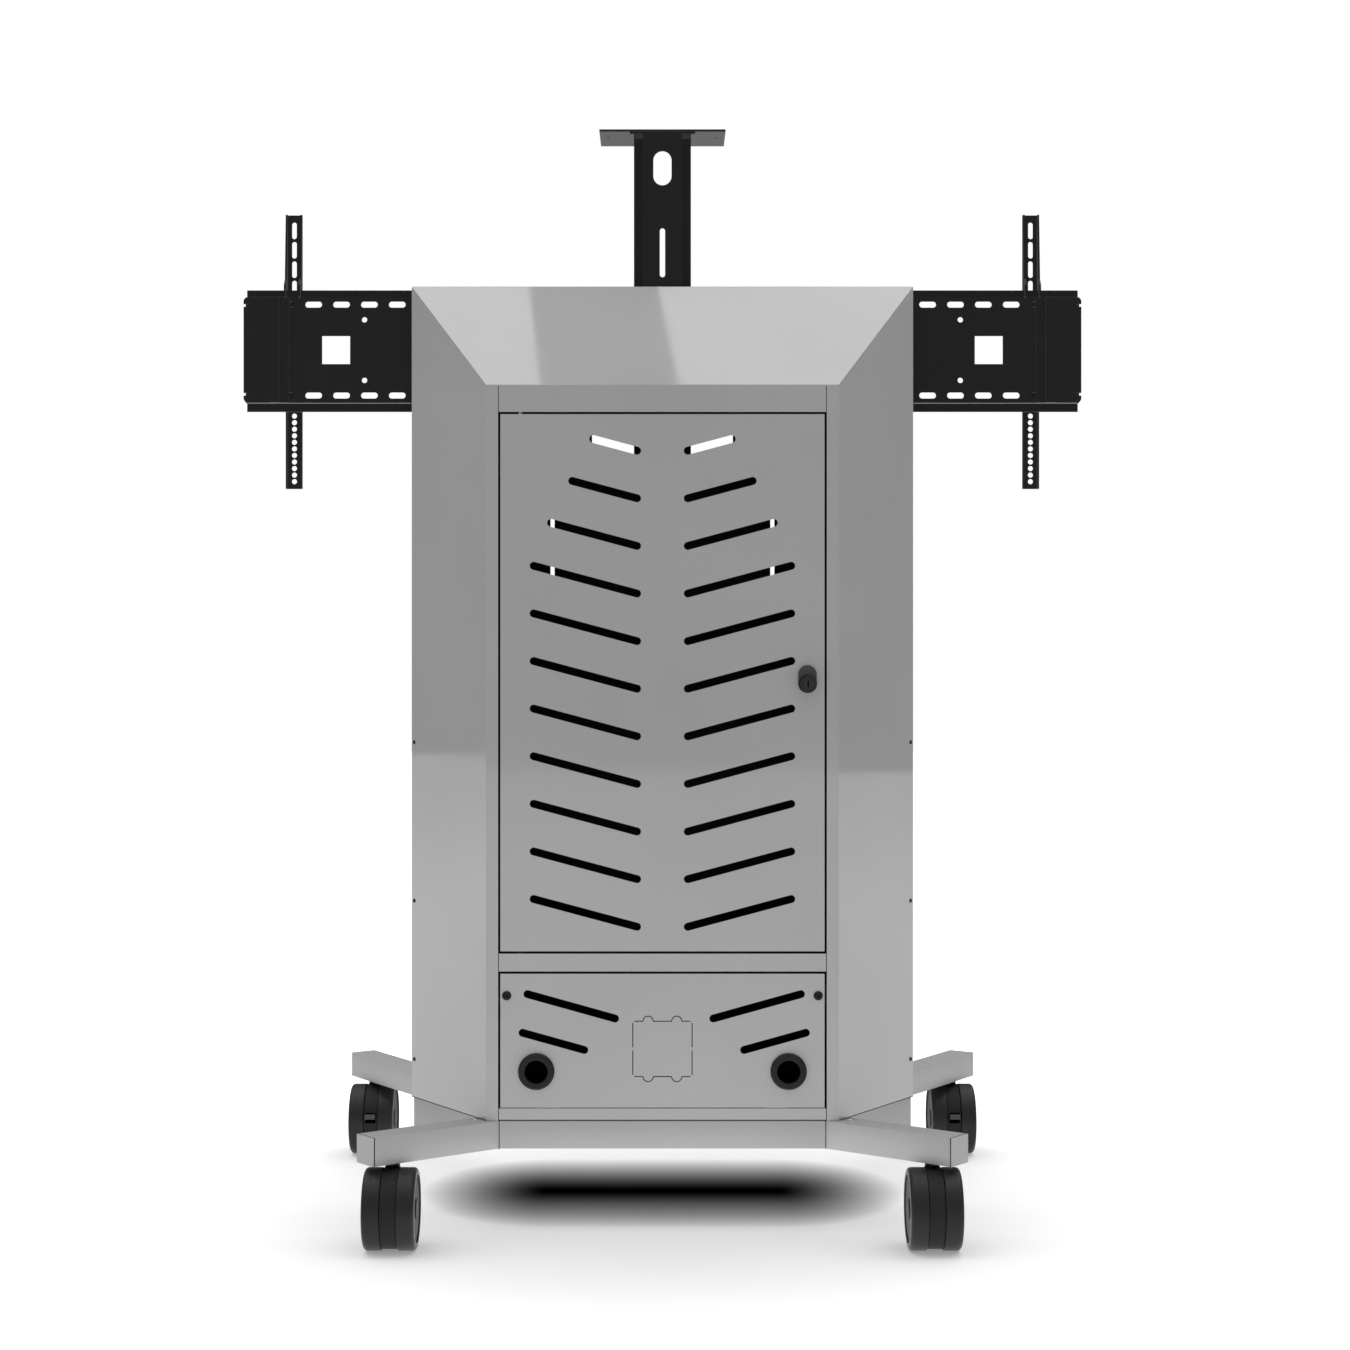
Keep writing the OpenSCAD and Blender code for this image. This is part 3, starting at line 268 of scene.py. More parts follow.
picked = add_node(wall_tree, "ShaderNodeMixShader", {
    0: camera_ray, 1: walls.outputs[0], 2: backdrop.outputs[0]}).outputs[0]
add_node(wall_tree, "ShaderNodeOutputWorld", {"Surface": picked})
print("walls:", len(wall_tree.nodes), "nodes")

# %% [markdown]
# ## The paints and plastics
#
# Every finish is a small recipe of noises on Object coordinates, so the pattern stays on the part
# when it moves. A powder coat has three scales: a slow cloudiness of the tone, a fine orange-peel
# bump, and tiny flecks. Edges are rubbed to another tone, read from an attribute that the rounding
# of the edges leaves on the mesh. A second attribute marks the faces that light seldom reaches, and
# the coat paints shade on them: near black, fully metallic and rougher.

# %% A coat
# The near-black colour and the added roughness that painted shade gives a marked face.
unlit = (0.012,) * 3
unlit_rough = 0.4
peel_depth = 0.0002


def coat(name, dark, light, worn, rough, peel, metallic=0.0, specular=0.5, fleck=0.0, wear=0.5):
    """A painted, moulded or plated finish: clouds, flecks, orange peel, rubbed edges, smudges and painted
    shade.
    """
    material, tree, shader = new_material(name)
    where = add_node(tree, "ShaderNodeTexCoord").outputs["Object"]

    def noise(scale, detail=2.0, roughness=0.5):
        values = {"Vector": where, "Scale": scale, "Detail": detail, "Roughness": roughness}
        return add_node(tree, "ShaderNodeTexNoise", values).outputs[0]

    edge, inside = (add_node(tree, "ShaderNodeAttribute", attribute_name=mark).outputs["Fac"]
                    for mark in ("edge", "inside"))
    colour = blend_colours(tree, spread(tree, noise(4.0, 3.0), 0.35, 0.65, 0, 1), dark, light)
    if fleck:
        colour = blend_colours(tree, spread(tree, noise(2200.0, 1.0), 0.55, 0.8, 0, fleck), colour, worn)
    patches = spread(tree, noise(60.0, 4.0, 0.7), 0.45, 0.7, 0, wear)
    colour = blend_colours(tree, reckon(tree, "MULTIPLY", edge, patches), colour, worn)
    smudges = spread(tree, noise(9.0, 4.0, 0.6), 0.3, 0.7, -0.012, 0.02)
    grain = spread(tree, noise(500.0), 0.3, 0.7, -0.006, 0.006)
    gloss = reckon(tree, "ADD", reckon(tree, "ADD", smudges, grain), rough)
    bump = add_node(tree, "ShaderNodeBump", {
        "Strength": peel, "Distance": peel_depth, "Height": noise(700.0)})
    # Painted shade: a marked face goes towards near black, fully metallic and rougher.
    fill(tree, shader, {
        "Base Color": blend_colours(tree, inside, colour, unlit),
        "Roughness": reckon(tree, "ADD", gloss, reckon(tree, "MULTIPLY", inside, unlit_rough)),
        "Metallic": spread(tree, inside, 0.0, 1.0, metallic, 1.0),
        "Specular IOR Level": specular, "Normal": bump.outputs[0]})
    return material


print("a coat has 3 tones and 6 numbers")

# %% Finishes
finishes = {
    "silver_sheet": coat("silver_powder_coat", (0.385, 0.385, 0.39), (0.405, 0.405, 0.41), (0.5, 0.5, 0.5),
                         rough=0.04, peel=0.004, metallic=0.22, specular=0.8, fleck=0.1, wear=0.3),
    "silver_satin": coat("silver_satin_coat", (0.4, 0.4, 0.405), (0.42, 0.42, 0.425), (0.49, 0.49, 0.49),
                         rough=0.4, peel=0.05, metallic=0.1, fleck=0.1, wear=0.25),
    "black_steel": coat("black_powder_coat", (0.0052, 0.0052, 0.0054), (0.0074, 0.0074, 0.0077),
                        (0.03, 0.03, 0.03), rough=0.42, peel=0.2, specular=0.24, fleck=0.04, wear=0.4),
    "grey_steel": coat("grey_powder_coat", (0.012, 0.012, 0.0125), (0.016, 0.016, 0.0165),
                       (0.005, 0.005, 0.005), rough=0.4, peel=0.12, specular=0.22, fleck=0.05, wear=1.0),
    "bright_steel": coat("zinc_plate", (0.5, 0.5, 0.5), (0.6, 0.6, 0.58), (0.75, 0.75, 0.75),
                         rough=0.3, peel=0.06, metallic=1.0),
    "caster_plastic": coat("moulded_black_plastic", (0.012, 0.012, 0.0125), (0.017, 0.017, 0.0175),
                           (0.045, 0.045, 0.045), rough=0.55, peel=0.1, specular=0.18),
    "grey_plastic": coat("moulded_grey_plastic", (0.05, 0.05, 0.0505), (0.06, 0.06, 0.0605),
                         (0.1, 0.1, 0.1), rough=0.4, peel=0.1, specular=0.3),
    "wheel": coat("grey_black_tread", (0.009, 0.009, 0.0092), (0.013, 0.013, 0.0132),
                  (0.045, 0.044, 0.043), rough=0.42, peel=0.12, specular=0.3, fleck=0.04),
    "lock_plastic": coat("lock_black", (0.02, 0.02, 0.0205), (0.026, 0.026, 0.0265), (0.06, 0.06, 0.06),
                         rough=0.35, peel=0.06, specular=0.3),
    "grommet_rubber": coat("grommet_rubber", (0.004, 0.004, 0.0042), (0.007, 0.007, 0.0072),
                           (0.02, 0.02, 0.02), rough=0.45, peel=0.1, specular=0.3),
}
print("finishes:", ", ".join(finishes))

# %% [markdown]
# ## Rounded edges on the sheet-metal parts
#
# No real sheet has a knife edge: a cut edge is eased and a fold has a radius, and both catch a thin
# line of light. A copy of each part is merged, its flat triangles are joined into whole faces, and
# every corner sharper than a set angle is rounded. The new narrow faces are marked as `edge`, which
# the paints read to rub them. Faces that look into the cabinet get painted shade, near black, so
# that the slots of the door read as dark strokes. The lowest millimetre of each flared side gets
# it too, as a painted shadow line along the cut edge.
#
# The black mount is kept out of what the glossy sheets mirror: the photograph's hood shows no dark
# ghost of it. That is a choice for this picture and not a property of the paint.

# %% Cabinet volume
screen_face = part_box("front_panel")[0].y
rear_top, hood_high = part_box("header_band")[1].z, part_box("hood")[1].z
cabinet_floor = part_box("bottom_plate")[0].z
rear_half, front_half = 0.222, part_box("hood")[1].x
cabinet_depth = screen_face - door_face
flare_slope = (front_half - rear_half) / cabinet_depth
wall_skin, roof_skin = 0.002, 0.003


def within_cabinet(p):
    """True for a point in the cabinet's hollow."""
    back = p.y - door_face
    half = rear_half + flare_slope * back - wall_skin
    roof = rear_top + (hood_high - rear_top) * back / cabinet_depth - roof_skin
    return wall_skin < back < cabinet_depth and cabinet_floor < p.z < roof and abs(p.x) < half


print("cabinet hollow: depth", round(cabinet_depth * 1000), "mm")

# %% Edge rounding
same_point = 1e-6
flat_angle, sharp_angle = math.radians(0.5), math.radians(25)


def merged(mesh):
    """A bmesh of a mesh with its loose triangles merged and its flat faces whole."""
    bm = bmesh.new()
    bm.from_mesh(mesh)
    bmesh.ops.remove_doubles(bm, verts=bm.verts, dist=same_point)
    bmesh.ops.dissolve_limit(bm, angle_limit=flat_angle, verts=bm.verts, edges=bm.edges)
    return bm


def ease_edges(bm, radius):
    """Rounds the sharp corners and marks the new faces."""
    edge = bm.faces.layers.float.new("edge")
    bm.faces.layers.float.new("inside")
    sharp = [e for e in bm.edges if len(e.link_faces) == 2 and e.calc_face_angle(0) > sharp_angle]
    made = bmesh.ops.bevel(bm, geom=sharp, offset=radius, offset_type="OFFSET", segments=2,
                           profile=0.5, affect="EDGES", clamp_overlap=True)
    for face in made["faces"]:
        face[edge] = 1.0


def mesh_object(name, bm, smooth_angle=40):
    """An object from a bmesh, smooth but for corners, with large faces kept flat."""
    for face in bm.faces:
        face.smooth = True
    obj = object_from(name, bm)
    obj.data.set_sharp_from_angle(angle=math.radians(smooth_angle))
    obj.modifiers.new("keep_faces_flat", "WEIGHTED_NORMAL").keep_sharp = True
    return obj


print("corners over", round(math.degrees(sharp_angle)), "degrees are rounded")

# %% Handing over a finished piece
satin = {"rear_crossbar", "front_crossbar", "base_rails", "front_panel", "rear_leg_left", "rear_leg_right",
         "front_leg_left", "front_leg_right"}
unmirrored = {"screen_mount", "arm_left", "arm_right", "camera_mast"}


def hand_over(obj, body, slot, *stands_for):
    """Gives a finished piece its finish, its body and the parts it stands for."""
    if not obj.data.materials:
        obj.data.materials.append(finishes["silver_satin" if satin.intersection(stands_for) else slot])
    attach(obj, body)
    if stands_for:
        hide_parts(*stands_for)
    obj.visible_glossy = body not in unmirrored
    return obj


print("satin parts:", len(satin))

# %% Marks
# The half width of the access panel's knock-out, where the painted shade is strongest, and the rim of a
# sheet that keeps its tone.
knock_half, rim_w = 0.045, 0.005
# The painted shadow line along the cut edge of a flared side: its height, and how far behind the door's
# face it starts.
trim_h, trim_back = 0.0012, 0.012
# Lips behind the door, which get painted shade in the gap: from and to how far behind its face, and how
# near the sides they end.
lip_near, lip_far, lip_in = 0.001, 0.02, 0.008
# The upright gets painted shade under its shelf, and the lower hinge pin gets painted shade. Heights in
# metres.
under_shelf, door_middle = 1.4, 0.69
# A point this far off a face tells which side of the sheet it looks into.
just_off = 0.0025


def mark_inside(bm, strength, test):
    """Paints shade, with this strength, on the faces whose middle and normal pass the test. A later mark
    counts.
    """
    inside = bm.faces.layers.float["inside"]
    for face in bm.faces:
        if test(face.calc_center_median(), face.normal):
            face[inside] = strength


def darken_cut_outs(bm):
    """Paints shade on the walls of the holes in an upright sheet, where light seldom comes, strongest at
    the knock-out.
    """
    xs, zs = ([v.co[axis] for v in bm.verts] for axis in (0, 2))
    x0, x1, z0, z1 = min(xs), max(xs), min(zs), max(zs)

    def in_sheet(c):
        return min(c.x - x0, x1 - c.x, c.z - z0, z1 - c.z) > rim_w

    mark_inside(bm, 0.95, lambda c, n: abs(n.y) < 0.9 and in_sheet(c))
    mark_inside(bm, 1.0, lambda c, n: abs(n.y) < 0.995 and in_sheet(c) and abs(c.x) < knock_half)


def behind_door(c, n):
    """A lip or a lug that faces the back of the door or of the access panel, and gets painted shade in the
    gap.
    """
    return n.y < -0.5 and lip_near < c.y - door_face < lip_far and abs(c.x) < rear_half - lip_in


print("marked lips: up to", lip_far * 1000, "mm behind the door's face")

# %% Round the parts
walls_of_cabinet = {"header_band", "side_panel_left", "side_panel_right", "bay_floor", "bottom_plate"}
dark_inside = walls_of_cabinet | {"front_panel", "hood", "equipment_shelf", "shelf_angles"}


def split_level(bm, z):
    """Cuts the faces along a level plane and takes nothing away."""
    bmesh.ops.bisect_plane(bm, geom=bm.verts[:] + bm.edges[:] + bm.faces[:],
                           plane_co=(0, 0, z), plane_no=(0, 0, 1))


def rounded(node, radius):
    """The part with rounded edges and its marks, in the part's place and on its body."""
    bm = merged(nodes[node].data)
    flared = node.startswith("side_panel")
    trim_top = min(v.co.z for v in bm.verts) + trim_h
    if node == "front_panel":
        split_level(bm, cabinet_floor)
    if flared:
        split_level(bm, trim_top)
    ease_edges(bm, radius)
    # Painted shade on the faces that look into the cabinet.
    if node in dark_inside:
        mark_inside(bm, 0.9, lambda c, n: within_cabinet(c + n * just_off))
    # A painted shadow line along the flared side's cut edge.
    if flared:
        mark_inside(bm, 1.0, lambda c, n: c.z < trim_top and c.y > door_face + trim_back)
    # Painted shade on the lips in the gap behind the door.
    if node in walls_of_cabinet:
        mark_inside(bm, 1.0, behind_door)
    # Painted shade in the access panel's slots and knock-out.
    if node == "access_panel":
        darken_cut_outs(bm)
    # Painted shade on the upright under its shelf.
    if node == "camera_upright":
        mark_inside(bm, 1.0, lambda c, n: n.z < -0.5 and c.z > under_shelf)
    # Painted shade on the lower hinge pin.
    if node == "hinge_pins":
        mark_inside(bm, 0.8, lambda c, n: c.z < door_middle)
    hand_over(mesh_object(node + "_finished", bm), body_of_node[node], slot_of_node[node], node)


edge_radii = {
    "front_crossbar": 0.0012, "base_rails": 0.0012,
    "side_panel_left": 0.0005, "side_panel_right": 0.0005, "hood": 0.0004, "front_panel": 0.0003,
    "header_band": 0.0004, "bay_floor": 0.0004, "bottom_plate": 0.0004, "equipment_shelf": 0.0004,
    "shelf_angles": 0.0004, "access_panel": 0.0003, "lock_escutcheon": 0.0008, "hinge_pins": 0.0004,
    "cable_grommet_left": 0.0008, "cable_grommet_right": 0.0008, "mount_plate": 0.0005,
    "mount_wing_left": 0.0005, "mount_wing_right": 0.0005, "mount_spacers": 0.0006,
    "upright_clips": 0.0005, "screen_arm_left": 0.0005, "screen_arm_right": 0.0005,
    "camera_upright": 0.0004, "camera_shelf": 0.0012,
}
corners = ("rear_left", "rear_right", "front_left", "front_right")
for corner in corners:
    edge_radii[corner + "_housing"] = 0.001
    edge_radii[corner + "_stem"] = 0.0008
for side in ("left", "right"):
    edge_radii["brake_pedal_" + side] = 0.0012
for node, radius in edge_radii.items():
    rounded(node, radius)
print("rounded parts:", len(edge_radii))

# %% [markdown]
# ## Legs with closed ends
#
# Each leg is a square tube whose open end is closed by a small welded plate. The plate leaves a fine
# dark seam round the tube. Here a thin frame-shaped cutter takes that seam out of the rounded tube,
# and the walls of the cut get painted shade, near black, as the shade in the groove. The joints
# between the rear crossbar and its legs are cut in the same way.

# %% Seam cutters
tube_radius = 0.0012
seam_in, seam_w, seam_deep, seam_out = 0.0016, 0.0013, 0.0012, 0.005
joint_w, joint_over = 0.001, 0.001


def plain_mesh(obj, name):
    """The object with its modifiers applied, as a new plain mesh object; the old one goes."""
    depsgraph = bpy.context.evaluated_depsgraph_get()
    made = bpy.data.meshes.new_from_object(obj.evaluated_get(depsgraph))
    made.name = name
    bpy.data.objects.remove(obj)
    return placed(name, made)


def cut_away(obj, bm, name):
    """The object less a cutter given as a bmesh. The walls of the cut get painted shade."""
    inside = bm.faces.layers.float.new("inside")
    for face in bm.faces:
        face[inside] = 1.0
    cutter = object_from("cutter", bm)
    cut = obj.modifiers.new("cut", "BOOLEAN")
    cut.object = cutter
    cut.solver = "EXACT"
    made = plain_mesh(obj, name)
    bpy.data.objects.remove(cutter)
    return made


def ring_cutter(turn, t0, t1, low, high):
    """A square frame across a tube, from seam_deep below its faces to seam_out above them."""
    bm = bmesh.new()
    rings = []
    for t, grow in ((t0, seam_out), (t1, seam_out), (t1, -seam_deep), (t0, -seam_deep)):
        y0, z0, y1, z1 = low[0] - grow, low[1] - grow, high[0] + grow, high[1] + grow
        rings.append([bm.verts.new(turn @ Vector((t, y, z)))
                      for y, z in ((y0, z0), (y1, z0), (y1, z1), (y0, z1))])
    for i in range(4):
        a, b = rings[i], rings[(i + 1) % 4]
        for k in range(4):
            bm.faces.new((a[k], a[(k + 1) % 4], b[(k + 1) % 4], b[k]))
    bmesh.ops.recalc_face_normals(bm, faces=bm.faces)
    return bm


print("seams:", seam_w * 1000, "mm wide")

# %% Seamed tubes
leg_angles = {"rear_leg_right": -38, "rear_leg_left": 218, "front_leg_right": 57, "front_leg_left": 123}


def seamed(node, turn, seams):
    """The tube with rounded edges and with ring seams, each from t0 to t1 along the turned X axis."""
    local = [turn.inverted() @ v.co for v in nodes[node].data.vertices]
    t_end = max(v.x for v in local)
    end = [v for v in local if v.x > t_end - joint_over]
    low, high = ([extreme(v[i] for v in end) for i in (1, 2)] for extreme in (min, max))
    bm = merged(nodes[node].data)
    ease_edges(bm, tube_radius)
    tube = mesh_object(node + "_tube", bm)
    for t0, t1 in seams(t_end):
        tube = cut_away(tube, ring_cutter(turn, t0, t1, low, high), node + "_finished")
    hand_over(tube, body_of_node[node], slot_of_node[node], node)


for node, angle in leg_angles.items():
    seamed(node, Matrix.Rotation(math.radians(angle), 4, "Z"),
           lambda end: [(end - seam_in - seam_w, end - seam_in)])
seamed("rear_crossbar", Matrix.Identity(4),
       lambda end: [(end - joint_w, end + joint_over), (-end - joint_over, -end + joint_w)])
print("tubes with seams:", len(leg_angles) + 1)

# %% [markdown]
# ## Bolts and screws by Geometry Nodes
#
# The same button-head bolt, with its hexagonal socket, holds the mount, its clips, the access panel
# and the camera shelf. Modelling each one by hand would be slow and they would drift apart. One
# node tree builds a bolt from named sizes and sets it on every point of a small mesh, turned to the
# direction stored there. A seeded random turn keeps the sockets from lining up, as on a real job.

# %% A helper for node trees


class Tree:
    """A geometry node tree with named inputs, and short ways to add and link nodes."""

    def __init__(self, name, **labels_of_kind):
        self.tree = bpy.data.node_groups.new(name, "GeometryNodeTree")
        face = self.tree.interface
        face.new_socket("Geometry", in_out="INPUT", socket_type="NodeSocketGeometry")
        face.new_socket("Geometry", in_out="OUTPUT", socket_type="NodeSocketGeometry")
        face.new_socket("Material", in_out="INPUT", socket_type="NodeSocketMaterial")
        for kind, labels in labels_of_kind.items():
            for label in labels:
                face.new_socket(label, in_out="INPUT", socket_type="NodeSocket" + kind)
        self.source = self.tree.nodes.new("NodeGroupInput")
        self.out = self.tree.nodes.new("NodeGroupOutput")

    def given(self, label):
        return self.source.outputs[label]

    def add(self, kind, values=None, **settings):
        """The first output of a new node."""
        return add_node(self.tree, kind, values, **settings).outputs[0]

    def calc(self, first, second, operation="ADD"):
        return reckon(self.tree, operation, first, second)

    def times(self, first, second):
        return self.calc(first, second, "MULTIPLY")

    def vector(self, x=0.0, y=0.0, z=0.0):
        return self.add("ShaderNodeCombineXYZ", {"X": x, "Y": y, "Z": z})

    def moved(self, geometry, offset):
        return self.add("GeometryNodeTransform", {"Geometry": geometry, "Translation": offset})

    def cylinder(self, sides, radius, depth, middle=0.0):
        """An upright cylinder with its middle at this height."""
        made = self.add("GeometryNodeMeshCylinder", {"Vertices": sides, "Radius": radius, "Depth": depth})
        return self.moved(made, self.vector(z=middle))

    def named(self, name, kind):
        """A value that the mesh carries under this name."""
        return self.add("GeometryNodeInputNamedAttribute", {"Name": name}, data_type=kind)

    def varied(self, low, high):
        """A seeded random number for each point."""
        values = {2: low, 3: high, "Seed": self.given("Seed")}
        return add_node(self.tree, "FunctionNodeRandomValue", values, data_type="FLOAT").outputs[1]

    def gather(self, kind, parts, into=0, **settings):
        """A node that takes all the parts through one input."""
        node = add_node(self.tree, kind, **settings)
        for part in parts:
            self.tree.links.new(part, node.inputs[into])
        return node

    def join(self, *parts):
        return self.gather("GeometryNodeJoinGeometry", parts).outputs[0]

    def less(self, body, *tools):
        """The body with the tools cut away."""
        node = self.gather("GeometryNodeMeshBoolean", tools, "Mesh 2", operation="DIFFERENCE")
        return fill(self.tree, node, {"Mesh 1": body}).outputs[0]

    def finish(self, instances):
        """Ends the tree: real geometry with its finish."""
        real = self.add("GeometryNodeRealizeInstances", {0: instances})
        painted = self.add("GeometryNodeSetMaterial", {
            "Geometry": real, "Material": self.given("Material")})
        self.tree.links.new(painted, self.out.inputs[0])

    def run(self, name, obj, slot, values):
        """Runs the tree on obj with these inputs, and returns the plain mesh object."""
        modifier = obj.modifiers.new(name, "NODES")
        modifier.node_group = self.tree
        for label, value in {"Material": finishes[slot], **values}.items():
            modifier[self.source.outputs[label].identifier] = value
        return plain_mesh(obj, name)


print("node tree helper ready")

# %% The bolt tree
crown_share, skirt_share, socket_share = 0.72, 0.45, 1.3
bolt = Tree("bolts", Bool=["Has Nut"], Int=["Seed"], Float=[
    "Head Radius", "Head Height", "Socket Radius", "Shank Radius", "Shank Length", "Nut Radius",
    "Nut Height", "Nut Setback", "Washer Radius", "Washer Height"])
head_r, head_h, shank_l = (bolt.given(label) for label in ("Head Radius", "Head Height", "Shank Length"))
nut_h, washer_h = bolt.given("Nut Height"), bolt.given("Washer Height")
skirt_h = bolt.times(head_h, skirt_share)
skirt = bolt.cylinder(32, head_r, skirt_h, bolt.times(head_h, skirt_share / 2))
crown = bolt.add("GeometryNodeMeshCone", {
    "Vertices": 32, "Radius Top": bolt.times(head_r, crown_share), "Radius Bottom": head_r,
    "Depth": bolt.times(head_h, 1 - skirt_share)})
crown = bolt.moved(crown, bolt.vector(z=skirt_h))
head = bolt.gather("GeometryNodeMeshBoolean", (skirt, crown), "Mesh 2", operation="UNION").outputs[0]
socket = bolt.cylinder(6, bolt.given("Socket Radius"), bolt.times(head_h, socket_share), head_h)
shank = bolt.cylinder(24, bolt.given("Shank Radius"), shank_l, bolt.times(shank_l, -0.5))
nut_low = bolt.calc(bolt.given("Nut Setback"), shank_l, "SUBTRACT")
nut = bolt.cylinder(6, bolt.given("Nut Radius"), nut_h, bolt.calc(nut_low, bolt.times(nut_h, 0.5)))
washer = bolt.cylinder(32, bolt.given("Washer Radius"), washer_h,
                       bolt.calc(bolt.calc(nut_low, nut_h), bolt.times(washer_h, 0.5)))
below = bolt.add("GeometryNodeSwitch", {"Switch": bolt.given("Has Nut"), "True": bolt.join(nut, washer)},
                 input_type="GEOMETRY")
whole = bolt.join(bolt.less(head, socket), shank, below)
facing = bolt.named("facing", "FLOAT_VECTOR")
aim = bolt.add("FunctionNodeAlignRotationToVector", {"Vector": facing}, axis="Z")
spin = bolt.add("FunctionNodeAxisAngleToRotation", {
    "Axis": (0, 0, 1), "Angle": bolt.varied(0.0, 2 * math.pi)})
aim = bolt.add("FunctionNodeRotateRotation", {"Rotation": aim, "Rotate By": spin}, rotation_space="LOCAL")
bolt.finish(bolt.add("GeometryNodeInstanceOnPoints", {
    "Points": bolt.given("Geometry"), "Instance": whole, "Rotation": aim}))
print("bolt tree:", len(bolt.tree.nodes), "nodes")

# %% Bolt sets
no_nut = {"Has Nut": False, "Nut Radius": 0.001, "Nut Height": 0.001, "Nut Setback": 0.0,
          "Washer Radius": 0.001, "Washer Height": 0.0005}
button_head = {"Head Radius": 0.005, "Head Height": 0.003, "Socket Radius": 0.0022, "Shank Radius": 0.0025}


def pairs(x, y, heights, facing):
    """Places mirrored in X at these heights, each with the direction that its bolt faces."""
    return [((side * x, y, z), facing) for side in (-1, 1) for z in heights]


def bolt_set(name, places, slot, seed, **sizes):
    """Bolts on these (place, direction) pairs, sizes in metres."""
    points = plain_object(name, [place for place, _ in places])
    facing = points.data.attributes.new("facing", "FLOAT_VECTOR", "POINT")
    facing.data.foreach_set("vector", [number for _, direction in places for number in direction])
    named = {label.replace("_", " "): value for label, value in sizes.items()}
    return bolt.run(name, points, slot, {"Seed": seed, **no_nut, **button_head, **named})


def joined(name, *objects):
    """Several mesh objects as one."""
    bm = bmesh.new()
    for obj in objects:
        bm.from_mesh(obj.data)
    made = object_from(name, bm)
    for material in objects[0].data.materials:
        made.data.materials.append(material)
    for obj in objects:
        bpy.data.objects.remove(obj)
    return made


print("a button head is", button_head["Head Radius"] * 2000, "mm wide")

# %% Set the bolts
web_low, web_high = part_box("mount_wing_left")
web_y, web_middle = web_high.y + 0.0025, (web_low.z + web_high.z) / 2
spacer_x, spacer_rise, clip_x, clip_rise = 0.146, 0.045, 0.0453, 0.04
past_panel = 0.0077
places = pairs(spacer_x, web_y, (web_middle - spacer_rise, web_middle + spacer_rise), (0, 1, 0))
spacer_bolts = bolt_set("spacer_bolts", places, "bright_steel", 3,
                        Shank_Length=web_y - screen_face + past_panel, Has_Nut=True, Nut_Radius=0.0055,
                        Nut_Height=0.004, Nut_Setback=0.002, Washer_Radius=0.008, Washer_Height=0.0016)
places = pairs(clip_x, web_y, (web_middle - clip_rise, web_middle + clip_rise), (0, 1, 0))
clip_screws = bolt_set("clip_screws", places, "bright_steel", 4,
                       Shank_Length=web_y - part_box("upright_clips")[0].y)
mount_bolts = joined("mount_bolt_set", spacer_bolts, clip_screws)
hand_over(mount_bolts, "screen_mount", "bright_steel", "mount_bolts")

low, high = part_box("panel_screws")
panel_head_r = 0.0058
places = pairs(high.x - panel_head_r, door_face, [(low.z + high.z) / 2], (0, -1, 0))
panel_heads = bolt_set("panel_screw_set", places, "black_steel", 5, Head_Radius=panel_head_r,
                       Socket_Radius=0.0024, Shank_Length=high.y - door_face)
hand_over(panel_heads, "cart", "black_steel", "panel_screws")

low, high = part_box("shelf_screws")
shelf_head_r, shelf_head_h = 0.0045, 0.0018
shelf_seat = high.z - shelf_head_h
places = pairs(high.x - shelf_head_r, (low.y + high.y) / 2, [shelf_seat], (0, 0, 1))
shelf_heads = bolt_set("shelf_screw_set", places, "bright_steel", 6, Head_Radius=shelf_head_r,
                       Head_Height=shelf_head_h, Socket_Radius=0.0018, Shank_Length=shelf_seat - low.z,
                       Has_Nut=True, Nut_Radius=shelf_head_r, Nut_Height=0.0035,
                       Washer_Radius=shelf_head_r)
hand_over(shelf_heads, "camera_mast", "bright_steel", "shelf_screws")

arm_head_h = 0.006
for side in ("left", "right"):
    low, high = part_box("arm_screw_" + side)
    middle = (low + high) / 2
    seat = low.z + arm_head_h
    places = [((middle.x, middle.y, seat), (0, 0, -1))]
    arm_head = bolt_set("arm_screw_set_" + side, places, "black_steel", 7, Head_Radius=0.0045,
                        Head_Height=arm_head_h, Socket_Radius=0.002, Shank_Length=high.z - seat)
    hand_over(arm_head, "arm_" + side, "black_steel", "arm_screw_" + side)
print("bolts set on the mount, the panel, the shelf and the arms")

# %% [markdown]
# ## The door, a sheet made by rule
#
# The real door is one sheet: its edges are folded back all round, and a punching machine cuts the
# herringbone of slots by a rule. Row after row stands one pitch lower, and each slot reaches one
# step further out until it meets the limit. The node tree holds that rule. It sets a drum on every
# slot's middle, moves the two halves of each drum apart along the slot's run, and takes the long
# drums out of the folded tray together with the lock's hole and the bore for the hinge pins.

# %% The door's tray
sheet_tree = Tree("door_sheet", Int=["Rows"], Vector=["Lock Hole", "Hinge"], Float=[
    "Half Width", "Height", "Fold", "Sheet", "Slot Width", "Slot Angle", "Slot Pitch", "Slot In",
    "Slot Out", "First Out", "Out Step", "Top Margin", "Lock Radius", "Pin Radius"])
add, given, calc = sheet_tree.add, sheet_tree.given, sheet_tree.calc
times, vector = sheet_tree.times, sheet_tree.vector
width, height, fold, sheet = times(given("Half Width"), 2.0), given("Height"), given("Fold"), given("Sheet")
half_fold, half_height, two_sheets = times(fold, 0.5), times(height, 0.5), times(sheet, 2.0)
tray = add("GeometryNodeMeshCube", {"Size": vector(width, fold, height)})
tray = sheet_tree.moved(tray, vector(y=half_fold, z=half_height))
hollow = add("GeometryNodeMeshCube", {
    "Size": vector(calc(width, two_sheets, "SUBTRACT"), fold, calc(height, two_sheets, "SUBTRACT"))})
hollow = sheet_tree.moved(hollow, vector(y=calc(half_fold, sheet), z=half_height))
print("tray:", len(sheet_tree.tree.nodes), "nodes")

